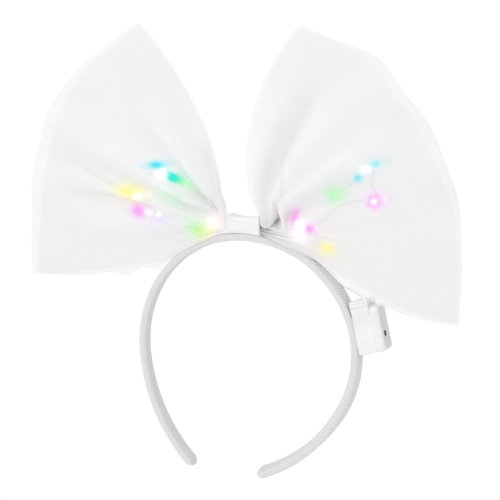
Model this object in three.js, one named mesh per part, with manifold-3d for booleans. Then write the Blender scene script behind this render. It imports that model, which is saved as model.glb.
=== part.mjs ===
// Light-up bow headband: a knit-covered spring band with a big bow of two tulle panels,
// bound by a satin ribbon knot, with small lights on a wire between the panels and a
// battery box on the right arm.
// Millimetres, +Z up, +X to the right seen from the front, -Y towards the viewer.
// The origin is the middle of the band's inner face under the knot, where it sits on a head.
import * as THREE from "three";
import { mergeVertices } from "three/addons/utils/BufferGeometryUtils.js";
import Module from "manifold-3d";

const wasm = await Module();
wasm.setup();

// Clearance between pieces that touch
const GAP = 0.3;

// Headband: a strip bent in arcs from the knot to each tip. Each row is one arc, with the
// turn of the section about its own line that the arc has reached at its end.
const BAND_WIDTH = 10;
const BAND_THICKNESS = 4;
const BAND_EDGE_RADIUS = 1.7;
const BAND_STEP = 7; // degrees of bend from one section to the next
const BAND_TIP = 5; // length over which each end rounds off
const RIGHT_ARM = [
  { radius: 79, sweep: 26, twist: 2 },
  { radius: 67, sweep: 95, twist: 5 },
  { radius: 97, sweep: 41, twist: -17 },
];
const LEFT_ARM = [
  { radius: 64, sweep: 60, twist: 4 },
  { radius: 71, sweep: 35, twist: 5 },
  { radius: 110, sweep: 41, twist: -5 },
];

// Ribbon knot: an oval sleeve on top of the band, a little narrower in its middle
const KNOT_LENGTH = 18.8;
const KNOT_DEPTH = 13;
const KNOT_HEIGHT = 11.2;
const KNOT_PINCH = 0.7; // how far the middle of the sleeve draws in
const KNOT_WALL = 1;
const KNOT_FORWARD = 0.5; // the sleeve's middle in front of the band's middle

// Tulle panels: both run from the left wing through the knot to the right wing
const CLOTH_WALL = 1;
const NECK_OUT = 10.6; // where a wing leaves the knot
const NECK_LOW = 6.4;
const NECK_HIGH = 12.8;
const LEAN = 0.32; // forward for each millimetre up
const SWEEP = 0.05; // forward for each millimetre out
const LEAN_START = 3;
const LEAVE = 0.18; // share of the reach in which a panel takes up its lean
const PUFF = 5; // how far the middle of a wing's front swells forward
const BACK_PUFF = 9; // how much further apart the panels are in the middle of a wing
const EDGE_APART = 5.5; // between the panels at the corners of the outer edge
const EDGE_OPEN = 10; // more than that at the middle of the outer edge
const PLEATS = 3; // gathers across the width beside the knot
const PLEAT_NECK = 0.35; // their height inside the knot
const PLEAT_DEPTH = 1; // and where they stand out most
const PLEAT_REACH = 0.17; // share of the reach where that is
const FRONT = { neck: -2.9, back: 0 };
const BACK = { neck: 1.9, back: 1 };

// Each wing's outer edge from its lower corner (share 0) to its tip (share 1), how far its
// upper and lower edges bow away from straight near the knot and far from it, how much
// lower the back panel hangs, and the main folds, which run from the knot towards the
// outer edge at one share of the width.
const LEFT_WING = {
  side: -1,
  edge: [
    { share: 0, out: 142, up: -28 },
    { share: 0.17, out: 137, up: 4 },
    { share: 0.31, out: 131, up: 31 },
    { share: 0.53, out: 116, up: 70 },
    { share: 0.72, out: 93, up: 98 },
    { share: 0.87, out: 69, up: 115 },
    { share: 1, out: 47, up: 128 },
  ],
  upper: { nearOut: -17, nearUp: -6, farOut: -20, farUp: -4 },
  lower: { nearOut: -16, nearUp: 1, farOut: -32, farUp: -7 },
  backHang: 6,
  folds: [
    { share: 0.85, width: 0.05, rise: 4, reach: 0.75 },
    { share: 0.75, width: 0.05, rise: -5, reach: 0.7 },
    { share: 0.58, width: 0.06, rise: 4, reach: 1 },
    { share: 0.46, width: 0.05, rise: -5, reach: 1 },
    { share: 0.32, width: 0.05, rise: -4, reach: 1 },
    { share: 0.2, width: 0.07, rise: 4, reach: 0.9 },
  ],
};
const RIGHT_WING = {
  side: 1,
  edge: [
    { share: 0, out: 131, up: -45 },
    { share: 0.25, out: 134, up: 7 },
    { share: 0.37, out: 132, up: 31 },
    { share: 0.55, out: 120, up: 68 },
    { share: 0.67, out: 106, up: 89 },
    { share: 0.79, out: 93, up: 108 },
    { share: 0.9, out: 70, up: 118 },
    { share: 1, out: 51, up: 126 },
  ],
  upper: { nearOut: -17, nearUp: -6, farOut: -26, farUp: -2 },
  lower: { nearOut: -7, nearUp: 14, farOut: -19, farUp: -10 },
  backHang: 0,
  folds: [
    { share: 0.96, width: 0.05, rise: 4, reach: 0.8 },
    { share: 0.87, width: 0.05, rise: -6, reach: 0.85 },
    { share: 0.77, width: 0.06, rise: 4, reach: 0.9 },
    { share: 0.6, width: 0.05, rise: 5, reach: 0.9 },
    { share: 0.48, width: 0.06, rise: -4, reach: 0.8 },
    { share: 0.2, width: 0.07, rise: 3, reach: 0.8 },
  ],
};
const WING_COLUMNS = 14;
const WING_CROWDING = 1.3; // columns stand closer near the knot
const PANEL_ROWS = 22;

// Lights, in their order along the wire from the knot: reach and share place each one
// half way between the two panels. A row with no name only guides the wire.
const LEFT_LIGHTS = [
  { name: "amber", reach: 0.08, share: 0.3, colour: 0xffe27a },
  { name: "lime", reach: 0.19, share: 0.14, colour: 0x8cf25a },
  { name: "pink", reach: 0.47, share: 0.29, colour: 0xff7de9 },
  { name: "yellow", reach: 0.52, share: 0.39, colour: 0xffe66a },
  { name: "cyan", reach: 0.4, share: 0.65, colour: 0x5fe3f5 },
  { name: "green", reach: 0.28, share: 0.7, colour: 0x7df58a },
];
const RIGHT_LIGHTS = [
  { name: "magenta", reach: 0.23, share: 0.32, colour: 0xff5de0 },
  { name: "yellow", reach: 0.39, share: 0.14, colour: 0xffe66a },
  { name: "rose", reach: 0.32, share: 0.26, colour: 0xff7de9 },
  { reach: 0.44, share: 0.4 },
  { reach: 0.53, share: 0.42 },
  { name: "pink", reach: 0.63, share: 0.4, colour: 0xff7de9 },
  { name: "cyan", reach: 0.66, share: 0.53, colour: 0x5fe3f5 },
  { name: "green", reach: 0.46, share: 0.48, colour: 0x7df58a },
];
const LIGHT_LENGTH = 3.8;
const LIGHT_DIAMETER = 3.2;
const LIGHT_SIDES = 10;
const WIRE_DIAMETER = 0.8;
const WIRE_SIDES = 5;
const WIRE_STEP = 3.4; // length of wire from one section to the next
const WIRE_LEG = 12; // longest leg with no stop in it
const WIRE_START = { reach: 0, share: 0.5 }; // where the wire leaves the knot

// Battery box, built along three axes of its own: across (+Y), along the arm (up) and out
// from the arm. Its middle lies a length along the right arm from the knot.
const BOX_ALONG = 96.3;
const BOX_LENGTH = 27.6;
const BOX_DEPTH = 16.5;
const BOX_SET_BACK = 3.75; // the box's middle behind the band's middle
const BOX_OFF_BAND = 0.6;
const BOX_CORNER = 2.6;
const BOX_WALL = 1.3;
const CASE_THICKNESS = 9.8;
const CASE_EDGE = 1;
const CASE_RISE = 3.4; // the case's top above the cover's, solid there to hold the lead
const COVER_THICKNESS = 5.4;
const COVER_EDGE = 2.2;
const GROOVE = { below: 6.4, height: 0.5, depth: 0.35 }; // line across the case under its top

// Slide switch in the cover: the knob comes through a slot, and a plate inside keeps it in
const SWITCH_TRAVEL = 1.8;
const KNOB_LENGTH = 3.2;
const KNOB_WIDTH = 2.6;
const KNOB_PROUD = 0.5;
const PLATE_LENGTH = 7.4;
const PLATE_WIDTH = 4.4;
const PLATE_THICKNESS = 1;
const SWITCH_BELOW = 3.4; // the knob's middle below the box's middle
const SWITCH_FORWARD = 3.2; // and in front of it

// Lead from the top of the box along the band to the knot: place along the arm, height
// over the band's middle line, and depth, in millimetres
const LEAD_DIAMETER = 1.5;
const LEAD_SIDES = 8;
const LEAD_STEPS = 26;
const LEAD_ROUTE = [
  { along: 80.6, over: 9.4, deep: 4 },
  { along: 78, over: 9.2, deep: 3.8 },
  { along: 74, over: 6.6, deep: 3.2 },
  { along: 68, over: 3.8, deep: 1.9 },
  { along: 60, over: 3.2, deep: 0.4 },
  { along: 50, over: 3.2, deep: -0.9 },
  { along: 40, over: 3.2, deep: -2.5 },
  { along: 30, over: 3.2, deep: -3.6 },
  { along: 22, over: 3.3, deep: -3.3 },
  { along: 16, over: 4.2, deep: -2 },
  { along: 13, over: 5.6, deep: -1.2 },
];

const radians = THREE.MathUtils.degToRad;
const smooth = (t) => THREE.MathUtils.smoothstep(t, 0, 1);
const vector = (x, y, z) => new THREE.Vector3(x, y, z);

// Surfaces from rings of points

// A closed surface over rings of equal size: its ends get caps, or meet if it is a loop.
function skin(rings, isLoop = false) {
  const size = rings[0].length;
  const points = rings.flat();
  const faces = [];
  const spans = isLoop ? rings.length : rings.length - 1;
  for (let i = 0; i < spans; i += 1) {
    const here = i * size;
    const next = ((i + 1) % rings.length) * size;
    for (let j = 0; j < size; j += 1) {
      const k = (j + 1) % size;
      faces.push(here + j, here + k, next + k, here + j, next + k, next + j);
    }
  }
  if (!isLoop) {
    for (const [start, turn] of [[0, 1], [(rings.length - 1) * size, 0]]) {
      const ring = points.slice(start, start + size);
      const middle = ring.reduce((sum, p) => sum.add(p), vector(0, 0, 0)).divideScalar(size);
      const hub = points.push(middle) - 1;
      for (let j = 0; j < size; j += 1) {
        const k = (j + 1) % size;
        faces.push(hub, start + (turn ? k : j), start + (turn ? j : k));
      }
    }
  }
  return facingOut(points, faces);
}

// The geometry of points and faces, with its faces turned outwards.
function facingOut(points, faces) {
  let volume = 0;
  const across = new THREE.Vector3();
  for (let i = 0; i < faces.length; i += 3) {
    const [a, b, c] = [points[faces[i]], points[faces[i + 1]], points[faces[i + 2]]];
    volume += a.dot(across.crossVectors(b, c));
  }
  if (volume < 0) faces.reverse();
  const geometry = new THREE.BufferGeometry().setFromPoints(points);
  geometry.setIndex(faces);
  geometry.computeVertexNormals();
  return geometry;
}

// A rounded rectangle of points about the middle, in a plane of two axes.
function roundedRectangle(width, height, radius, perCorner) {
  const ring = [];
  for (let corner = 0; corner < 4; corner += 1) {
    const signX = corner === 0 || corner === 3 ? 1 : -1;
    const signY = corner < 2 ? 1 : -1;
    for (let i = 0; i <= perCorner; i += 1) {
      const turn = radians(90 * (corner + i / perCorner));
      ring.push(
        new THREE.Vector2(
          signX * (width / 2 - radius) + radius * Math.cos(turn),
          signY * (height / 2 - radius) + radius * Math.sin(turn),
        ),
      );
    }
  }
  return ring;
}

// Joining and cutting

function solidOf(geometry) {
  const bare = geometry.clone();
  bare.deleteAttribute("normal");
  bare.deleteAttribute("uv");
  const merged = mergeVertices(bare);
  return new wasm.Manifold(
    new wasm.Mesh({
      numProp: 3,
      vertProperties: merged.attributes.position.array,
      triVerts: new Uint32Array(merged.index.array),
    }),
  );
}

function geometryOf(solid) {
  const mesh = solid.getMesh();
  const geometry = new THREE.BufferGeometry();
  geometry.setAttribute("position", new THREE.BufferAttribute(mesh.vertProperties, 3));
  geometry.setIndex(new THREE.BufferAttribute(mesh.triVerts, 1));
  geometry.computeVertexNormals();
  return geometry;
}

function boxAt(width, height, thickness, x, y, z) {
  return solidOf(new THREE.BoxGeometry(width, height, thickness).translate(x, y, z));
}

// Headband

// Place on the middle line of an arm at a length from the knot: position, the direction
// that points away from the head, the direction along the arm, and the twist there.
function placeOnArm(arm, side, length) {
  let x = 0;
  let z = BAND_THICKNESS / 2;
  let heading = 0;
  let twist = 0;
  let left = length;
  arm.forEach((arc, i) => {
    const isLast = i === arm.length - 1;
    const whole = arc.radius * radians(arc.sweep);
    const step = isLast ? left : Math.min(left, whole);
    const turned = heading + step / arc.radius;
    x += arc.radius * (Math.sin(turned) - Math.sin(heading));
    z += arc.radius * (Math.cos(turned) - Math.cos(heading));
    heading = turned;
    twist += (arc.twist - (i ? arm[i - 1].twist : 0)) * (step / whole);
    left -= step;
  });
  return {
    point: vector(side * x, 0, z),
    out: vector(side * Math.sin(heading), 0, Math.cos(heading)),
    along: vector(side * Math.cos(heading), 0, -Math.sin(heading)),
    twist: radians(twist),
  };
}

function armLength(arm) {
  return arm.reduce((sum, arc) => sum + arc.radius * radians(arc.sweep), 0);
}

function headband() {
  const profile = roundedRectangle(BAND_WIDTH, BAND_THICKNESS, BAND_EDGE_RADIUS, 3);
  const ringAt = (arm, side, length) => {
    const place = placeOnArm(arm, side, length);
    const toTip = Math.min(1, (armLength(arm) - length) / BAND_TIP);
    const round = Math.sqrt(Math.max(0.04, 1 - (1 - toTip) ** 2));
    const out = place.out.clone().multiplyScalar(Math.cos(place.twist));
    out.y -= Math.sin(place.twist);
    const across = place.out.clone().multiplyScalar(Math.sin(place.twist));
    across.y += Math.cos(place.twist);
    return profile.map((p) =>
      place.point
        .clone()
        .addScaledVector(across, p.x * round)
        .addScaledVector(out, p.y * (0.55 + 0.45 * round)),
    );
  };
  const lengthsOf = (arm) => {
    const lengths = [];
    let done = 0;
    for (const arc of arm) {
      const whole = arc.radius * radians(arc.sweep);
      const steps = Math.ceil(arc.sweep / BAND_STEP);
      for (let i = 1; i <= steps; i += 1) lengths.push(done + (whole * i) / steps);
      done += whole;
    }
    const body = lengths.filter((length) => length < done - BAND_TIP - 1);
    const rounding = [1, 0.6, 0.25, 0.07, 0].map((share) => done - BAND_TIP * share);
    return [...body, ...rounding];
  };
  const left = lengthsOf(LEFT_ARM).map((length) => ringAt(LEFT_ARM, -1, length));
  const right = lengthsOf(RIGHT_ARM).map((length) => ringAt(RIGHT_ARM, 1, length));
  return skin([...left.reverse(), ringAt(RIGHT_ARM, 1, 0), ...right]);
}

// Ribbon knot

function knotWrap() {
  const sides = 20;
  const stations = [-1, -0.75, -0.45, 0, 0.45, 0.75, 1];
  const middle = BAND_THICKNESS + GAP + KNOT_HEIGHT / 2;
  const ringAt = (station, inset) => {
    const pinch = KNOT_PINCH * (1 - station * station);
    const ring = [];
    for (let i = 0; i < sides; i += 1) {
      const turn = (2 * Math.PI * i) / sides;
      const [c, s] = [Math.cos(turn), Math.sin(turn)];
      // A squared oval, flat where it sits on the band.
      const square = (c ** 4 + s ** 4) ** -0.25;
      const deep = (KNOT_DEPTH / 2 - pinch - inset) * c * square;
      const high = (KNOT_HEIGHT / 2 - (s > 0 ? pinch : 0) - inset) * s * square;
      ring.push(vector((station * KNOT_LENGTH) / 2, deep - KNOT_FORWARD, middle + high));
    }
    return ring;
  };
  const outside = stations.map((station) => ringAt(station, 0));
  const inside = stations.map((station) => ringAt(station, KNOT_WALL)).reverse();
  return skin([...outside, ...inside], true);
}

// Tulle bow

// A value between the rows of a table, on a smooth curve through them.
function between(rows, key, share) {
  const slopeAt = (i) => {
    const before = rows[Math.max(0, i - 1)];
    const after = rows[Math.min(rows.length - 1, i + 1)];
    return (after[key] - before[key]) / (after.share - before.share);
  };
  let i = 0;
  while (i < rows.length - 2 && share > rows[i + 1].share) i += 1;
  const span = rows[i + 1].share - rows[i].share;
  const t = (share - rows[i].share) / span;
  return (
    rows[i][key] * (1 + 2 * t) * (1 - t) ** 2 +
    slopeAt(i) * span * t * (1 - t) ** 2 +
    rows[i + 1][key] * t * t * (3 - 2 * t) +
    slopeAt(i + 1) * span * t * t * (t - 1)
  );
}

function pleatHeight(reach) {
  const t = reach / PLEAT_REACH;
  return PLEAT_NECK + PLEAT_DEPTH * t * Math.exp(1 - t);
}

const pleatWave = (share) => Math.cos(2 * Math.PI * PLEATS * share);

// A point of one panel in one wing: reach runs from the knot (0) to the outer edge (1),
// share from the lower edge (0) to the upper one (1).
function wingPoint(wing, layer, reach, share) {
  const neck = { out: NECK_OUT, up: NECK_LOW + (NECK_HIGH - NECK_LOW) * share };
  const edge = { out: between(wing.edge, "out", share), up: between(wing.edge, "up", share) };
  const high = share ** 4;
  const low = (1 - share) ** 4;
  const along = (key, near, far) => {
    const first = neck[key] + (edge[key] - neck[key]) / 3;
    const second = neck[key] + ((edge[key] - neck[key]) * 2) / 3;
    const back = 1 - reach;
    return (
      neck[key] * back ** 3 +
      (first + wing.upper[near] * high + wing.lower[near] * low) * 3 * reach * back ** 2 +
      (second + wing.upper[far] * high + wing.lower[far] * low) * 3 * reach ** 2 * back +
      edge[key] * reach ** 3
    );
  };
  const out = along("out", "nearOut", "farOut");
  const hanging = smooth((reach - 0.28) / 0.2) * Math.sin(Math.PI * reach) * (1 - share) ** 6;
  const up = along("up", "nearUp", "farUp") - layer.back * wing.backHang * hanging;
  const swell = Math.sin(Math.PI * reach) * Math.sin(Math.PI * share);
  const open = EDGE_APART + EDGE_OPEN * Math.sin(Math.PI * share);
  const neckApart = BACK.neck - FRONT.neck;
  const backSwell = Math.sin(Math.PI * reach) ** 0.6 * Math.sin(Math.PI * share);
  const apart = neckApart + (open - neckApart) * smooth(reach) + BACK_PUFF * backSwell;
  const leaned = -LEAN_START - LEAN * up - SWEEP * out - PUFF * swell + layer.back * apart;
  let deep = layer.neck + (leaned - layer.neck) * smooth(reach / LEAVE);
  for (const fold of wing.folds) {
    const shape = Math.exp(-(((share - fold.share) / fold.width) ** 2));
    deep -= fold.rise * shape * Math.sin(Math.PI * Math.min(1, reach / fold.reach));
  }
  deep -= pleatHeight(reach) * pleatWave(share);
  return vector(wing.side * out, deep, up);
}

function neckPoint(layer, x, share) {
  const deep = layer.neck - PLEAT_NECK * pleatWave(share);
  return vector(x, deep, NECK_LOW + (NECK_HIGH - NECK_LOW) * share);
}

// One panel of cloth: its middle surface as columns from the left edge to the right one,
// thickened to a wall.
function tullePanel(layer) {
  const reaches = Array.from({ length: WING_COLUMNS + 1 }, (_, i) => (i / WING_COLUMNS) ** WING_CROWDING);
  const columns = [
    ...reaches.toReversed().map((reach) => (share) => wingPoint(LEFT_WING, layer, reach, share)),
    ...[-0.5, 0, 0.5].map((part) => (share) => neckPoint(layer, part * NECK_OUT, share)),
    ...reaches.map((reach) => (share) => wingPoint(RIGHT_WING, layer, reach, share)),
  ];
  const grid = columns.map((pointAt) =>
    Array.from({ length: PANEL_ROWS + 1 }, (_, j) => pointAt(j / PANEL_ROWS)),
  );
  const rings = grid.map((column, i) => {
    const before = grid[Math.max(0, i - 1)];
    const after = grid[Math.min(grid.length - 1, i + 1)];
    const halfWalls = column.map((_, j) => {
      const along = after[j].clone().sub(before[j]);
      const up = column[Math.min(PANEL_ROWS, j + 1)].clone().sub(column[Math.max(0, j - 1)]);
      const facing = Math.abs(along.cross(up).normalize().y);
      return CLOTH_WALL / 2 / Math.max(0.6, facing);
    });
    const shifted = (sign) => column.map((p, j) => vector(p.x, p.y + sign * halfWalls[j], p.z));
    return [...shifted(-1), ...shifted(1).reverse()];
  });
  return panelShell(rings);
}

// A thin panel over rings that go up its front and down its back. Its two end caps are
// strips between the front and the back, because a gathered ring has no plain middle.
function panelShell(rings) {
  const size = rings[0].length;
  const points = rings.flat();
  const faces = [];
  for (let i = 0; i < rings.length - 1; i += 1) {
    for (let j = 0; j < size; j += 1) {
      const k = (j + 1) % size;
      const [a, b] = [i * size, (i + 1) * size];
      faces.push(a + j, a + k, b + k, a + j, b + k, b + j);
    }
  }
  for (let j = 0; j < size / 2 - 1; j += 1) {
    const [a, b, c, d] = [j, j + 1, size - 2 - j, size - 1 - j];
    faces.push(a, c, b, a, d, c);
    const last = (rings.length - 1) * size;
    faces.push(last + a, last + b, last + c, last + a, last + c, last + d);
  }
  return facingOut(points, faces);
}

// Lights and their wire

function betweenPanels(wing, reach, share) {
  const front = wingPoint(wing, FRONT, reach, share);
  return front.add(wingPoint(wing, BACK, reach, share)).multiplyScalar(0.5);
}

// Stops along the wire, from the left wing's last light through the knot to the right
// wing's last one, with more stops in the long legs so the wire stays between the panels.
function wireStops() {
  const stopsOf = (wing, rows) => {
    const stops = [{ ...WIRE_START, wing, place: betweenPanels(wing, WIRE_START.reach, WIRE_START.share) }];
    for (const row of rows) {
      const last = stops[stops.length - 1];
      const place = betweenPanels(wing, row.reach, row.share);
      const legs = 1 + Math.floor(last.place.distanceTo(place) / WIRE_LEG);
      for (let i = 1; i < legs; i += 1) {
        const reach = THREE.MathUtils.lerp(last.reach, row.reach, i / legs);
        const share = THREE.MathUtils.lerp(last.share, row.share, i / legs);
        stops.push({ wing, reach, share, place: betweenPanels(wing, reach, share) });
      }
      stops.push({ ...row, wing, place });
    }
    return stops;
  };
  const stops = [
    ...stopsOf(LEFT_WING, LEFT_LIGHTS).reverse(),
    ...stopsOf(RIGHT_WING, RIGHT_LIGHTS),
  ];
  return stops.map((stop, i) => {
    const before = stops[Math.max(0, i - 1)].place;
    const after = stops[Math.min(stops.length - 1, i + 1)].place;
    return { ...stop, heading: after.clone().sub(before).normalize() };
  });
}

// The wire itself. A light's own stretch of it is straight.
function lightWire(stops) {
  const stretch = 1.1 * LIGHT_LENGTH;
  const points = stops.flatMap((stop) => {
    if (!stop.name) return [stop.place];
    return [-1, -0.5, 0.5, 1].map((step) => stop.place.clone().addScaledVector(stop.heading, step * stretch));
  });
  const path = new THREE.CatmullRomCurve3(points, false, "centripetal");
  return cordAlong(path, WIRE_DIAMETER, WIRE_SIDES, Math.round(path.getLength() / WIRE_STEP));
}

// A round cord along a path.
function cordAlong(path, diameter, sides, steps) {
  const section = new THREE.Shape(
    Array.from({ length: sides }, (_, i) => {
      const turn = (2 * Math.PI * i) / sides;
      return new THREE.Vector2(Math.cos(turn), Math.sin(turn)).multiplyScalar(diameter / 2);
    }),
  );
  return new THREE.ExtrudeGeometry(section, { steps, extrudePath: path, bevelEnabled: false });
}

// A drop of clear resin with the wire's bore through it, along its own Y.
function lightDrop() {
  const bore = WIRE_DIAMETER / 2 + 1.2 * GAP;
  const [half, wide] = [LIGHT_LENGTH / 2, LIGHT_DIAMETER / 2];
  const outline = [
    [bore, -half],
    [0.72 * wide, -0.82 * half],
    [wide, -0.3 * half],
    [wide, 0.3 * half],
    [0.72 * wide, 0.82 * half],
    [bore, half],
    [bore, -half],
  ];
  return new THREE.LatheGeometry(outline.map(([r, y]) => new THREE.Vector2(r, y)), LIGHT_SIDES);
}

// Battery box

// A block over rounded rectangles, from one distance out to another, with its middle lifted
// along the arm. Each row gives the distance out and how far the outline draws in there.
function roundedBlock(width, height, radius, rows, lift = 0) {
  const rings = rows.map(({ out, inset }) =>
    roundedRectangle(width - 2 * inset, height - 2 * inset, Math.max(0.4, radius - inset), 3).map(
      (p) => vector(p.x, p.y + lift, out),
    ),
  );
  return solidOf(skin(rings));
}

// Rows that round an edge off over a radius, up to the face at the far end.
function roundedEnd(face, radius, steps = 4) {
  return Array.from({ length: steps + 1 }, (_, i) => {
    const turn = radians((90 * i) / steps);
    return { out: face - radius * (1 - Math.sin(turn)), inset: radius * (1 - Math.cos(turn)) };
  });
}

function batteryCase() {
  const length = BOX_LENGTH + CASE_RISE;
  const lift = CASE_RISE / 2;
  const inner = { width: BOX_DEPTH - 2 * BOX_WALL, height: BOX_LENGTH - 2 * BOX_WALL };
  const outside = [
    { out: 0, inset: CASE_EDGE },
    { out: 0.3 * CASE_EDGE, inset: 0.3 * CASE_EDGE },
    { out: CASE_EDGE, inset: 0 },
    { out: CASE_THICKNESS, inset: 0 },
  ];
  const inside = [
    { out: BOX_WALL, inset: 0 },
    { out: CASE_THICKNESS + BOX_WALL, inset: 0 },
  ];
  const body = roundedBlock(BOX_DEPTH, length, BOX_CORNER, outside, lift);
  const hollow = roundedBlock(inner.width, inner.height, BOX_CORNER - BOX_WALL, inside);
  const top = lift + length / 2;
  const line = boxAt(
    2 * GROOVE.depth,
    GROOVE.height,
    CASE_THICKNESS - 2 * CASE_EDGE,
    -BOX_DEPTH / 2,
    top - GROOVE.below,
    CASE_THICKNESS / 2,
  );
  return geometryOf(body.subtract(hollow).subtract(line));
}

function batteryCover() {
  const face = CASE_THICKNESS + GAP + COVER_THICKNESS;
  const inner = { width: BOX_DEPTH - 2 * BOX_WALL, height: BOX_LENGTH - 2 * BOX_WALL };
  const body = roundedBlock(BOX_DEPTH, BOX_LENGTH, BOX_CORNER, [
    { out: CASE_THICKNESS + GAP, inset: 0 },
    ...roundedEnd(face, COVER_EDGE),
  ]);
  const hollow = roundedBlock(inner.width, inner.height, BOX_CORNER - BOX_WALL, [
    { out: CASE_THICKNESS - BOX_WALL, inset: 0 },
    ...roundedEnd(face - BOX_WALL, COVER_EDGE - 0.5 * BOX_WALL),
  ]);
  const slot = boxAt(
    KNOB_WIDTH + 2 * GAP,
    KNOB_LENGTH + SWITCH_TRAVEL + 2 * GAP,
    3 * BOX_WALL,
    -SWITCH_FORWARD,
    -SWITCH_BELOW + SWITCH_TRAVEL / 2,
    face,
  );
  return geometryOf(body.subtract(hollow).subtract(slot));
}

function switchSlider() {
  const face = CASE_THICKNESS + GAP + COVER_THICKNESS;
  const under = face - BOX_WALL - GAP;
  const knob = roundedBlock(KNOB_WIDTH, KNOB_LENGTH, 0.5, [
    { out: under - PLATE_THICKNESS / 2, inset: 0 },
    { out: face + KNOB_PROUD - 0.3, inset: 0 },
    { out: face + KNOB_PROUD, inset: 0.3 },
  ]);
  const plate = boxAt(PLATE_WIDTH, PLATE_LENGTH, PLATE_THICKNESS, 0, 0, under - PLATE_THICKNESS / 2);
  return geometryOf(knob.add(plate));
}

// Lead

function leadWire() {
  const points = LEAD_ROUTE.map(({ along, over, deep }) => {
    const place = placeOnArm(RIGHT_ARM, 1, along);
    const point = place.point.clone().addScaledVector(place.out, over);
    point.y = deep;
    return point;
  });
  const path = new THREE.CatmullRomCurve3(points, false, "centripetal");
  return cordAlong(path, LEAD_DIAMETER, LEAD_SIDES, LEAD_STEPS);
}

// Assembly

const KNIT = { color: 0xe4e4e3, roughness: 0.9 };
const TULLE = { color: 0xf6f6f6, roughness: 0.8 };
const SATIN = { color: 0xf4f4f4, roughness: 0.35 };
const PLASTIC = { color: 0xf2f2f1, roughness: 0.35 };
const BLACK_PLASTIC = { color: 0x121212, roughness: 0.4 };
const COATED_WIRE = { color: 0xd8d8d6, roughness: 0.4, metalness: 0.3 };
const LEAD_JACKET = { color: 0xf0f0ef, roughness: 0.5 };

const part = new THREE.Group();
part.name = "light_up_headband";

function addMesh(parent, name, geometry, look) {
  const mesh = new THREE.Mesh(geometry, new THREE.MeshStandardMaterial(look));
  mesh.name = name;
  parent.add(mesh);
  return mesh;
}

addMesh(part, "headband", headband(), KNIT);
addMesh(part, "knot_wrap", knotWrap(), SATIN);
addMesh(part, "tulle_front", tullePanel(FRONT), TULLE);
addMesh(part, "tulle_back", tullePanel(BACK), TULLE);

const stops = wireStops();
addMesh(part, "light_wire", lightWire(stops), COATED_WIRE);
for (const stop of stops.filter((each) => each.name)) {
  const sideName = stop.wing === LEFT_WING ? "left" : "right";
  const glow = { color: stop.colour, emissive: stop.colour, roughness: 0.2 };
  const drop = addMesh(part, `light_${sideName}_${stop.name}`, lightDrop(), glow);
  drop.position.copy(stop.place);
  drop.quaternion.setFromUnitVectors(vector(0, 1, 0), stop.heading);
}

const boxPlace = placeOnArm(RIGHT_ARM, 1, BOX_ALONG);
const batteryBox = new THREE.Group();
const upArm = boxPlace.along.clone().negate();
batteryBox.quaternion.setFromRotationMatrix(
  new THREE.Matrix4().makeBasis(vector(0, 1, 0), upArm, boxPlace.out),
);
batteryBox.position
  .copy(boxPlace.point)
  .addScaledVector(boxPlace.out, BAND_THICKNESS / 2 + BOX_OFF_BAND)
  .add(vector(0, BOX_SET_BACK, 0));
part.add(batteryBox);
addMesh(batteryBox, "battery_case", batteryCase(), PLASTIC);
addMesh(batteryBox, "battery_cover", batteryCover(), PLASTIC);
const slider = addMesh(batteryBox, "switch_slider", switchSlider(), BLACK_PLASTIC);
slider.position.set(-SWITCH_FORWARD, -SWITCH_BELOW, 0);

addMesh(part, "lead_wire", leadWire(), LEAD_JACKET);

export default part;
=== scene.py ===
# %% [markdown]
# # A light-up bow headband
#
# A costume headband: a springy strip in a knitted cover, a big bow of white tulle, a satin
# knot, small coloured lights on a wire inside the bow, and a battery box on one arm.
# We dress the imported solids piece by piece. Every surface below is a formula over two
# numbers, or a section carried along a path, and every pattern is sized in millimetres.

import bpy
import numpy as np
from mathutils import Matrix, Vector


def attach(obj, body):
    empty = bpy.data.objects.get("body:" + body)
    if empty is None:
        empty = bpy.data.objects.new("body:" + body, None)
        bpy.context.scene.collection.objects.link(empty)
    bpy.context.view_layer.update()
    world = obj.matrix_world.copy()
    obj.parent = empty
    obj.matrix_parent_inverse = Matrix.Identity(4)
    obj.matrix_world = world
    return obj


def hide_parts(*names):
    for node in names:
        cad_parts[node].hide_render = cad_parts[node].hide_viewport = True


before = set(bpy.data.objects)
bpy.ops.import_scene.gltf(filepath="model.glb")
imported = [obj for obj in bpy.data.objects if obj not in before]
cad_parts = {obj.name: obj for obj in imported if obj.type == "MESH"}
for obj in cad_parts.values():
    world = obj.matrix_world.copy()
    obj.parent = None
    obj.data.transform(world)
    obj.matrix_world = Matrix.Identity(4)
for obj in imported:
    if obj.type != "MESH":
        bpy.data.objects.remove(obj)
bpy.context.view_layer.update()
BODY = "band_and_bow"
MM = 0.001

# %% [markdown]
# ## Camera
#
# The photograph looks at the bow from 21 degrees to its right and 7 degrees above, from
# about a metre away with a long lens. A camera could be pushed about by eye; written as two
# angles, a distance and a width of field, each can be corrected by itself.

# %% Camera
AZIMUTH = np.radians(21)
ELEVATION = np.radians(7)
DISTANCE = 0.950
FIELD = 0.300
SENSOR = 36
LOOK_AT = np.array([0, 0, 0.002])
AIM_RIGHT = 0.0045
AIM_UP = -0.0083


def put_in_scene(name, data):
    """A new object with its data, linked to the scene."""
    made = bpy.data.objects.new(name, data)
    bpy.context.scene.collection.objects.link(made)
    return made


def aim_from(thing, place, direction):
    """Puts a camera or lamp at a place, looking in a direction with its top upwards."""
    thing.location = place
    thing.rotation_euler = Vector(direction).to_track_quat("-Z", "Y").to_euler()


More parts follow.
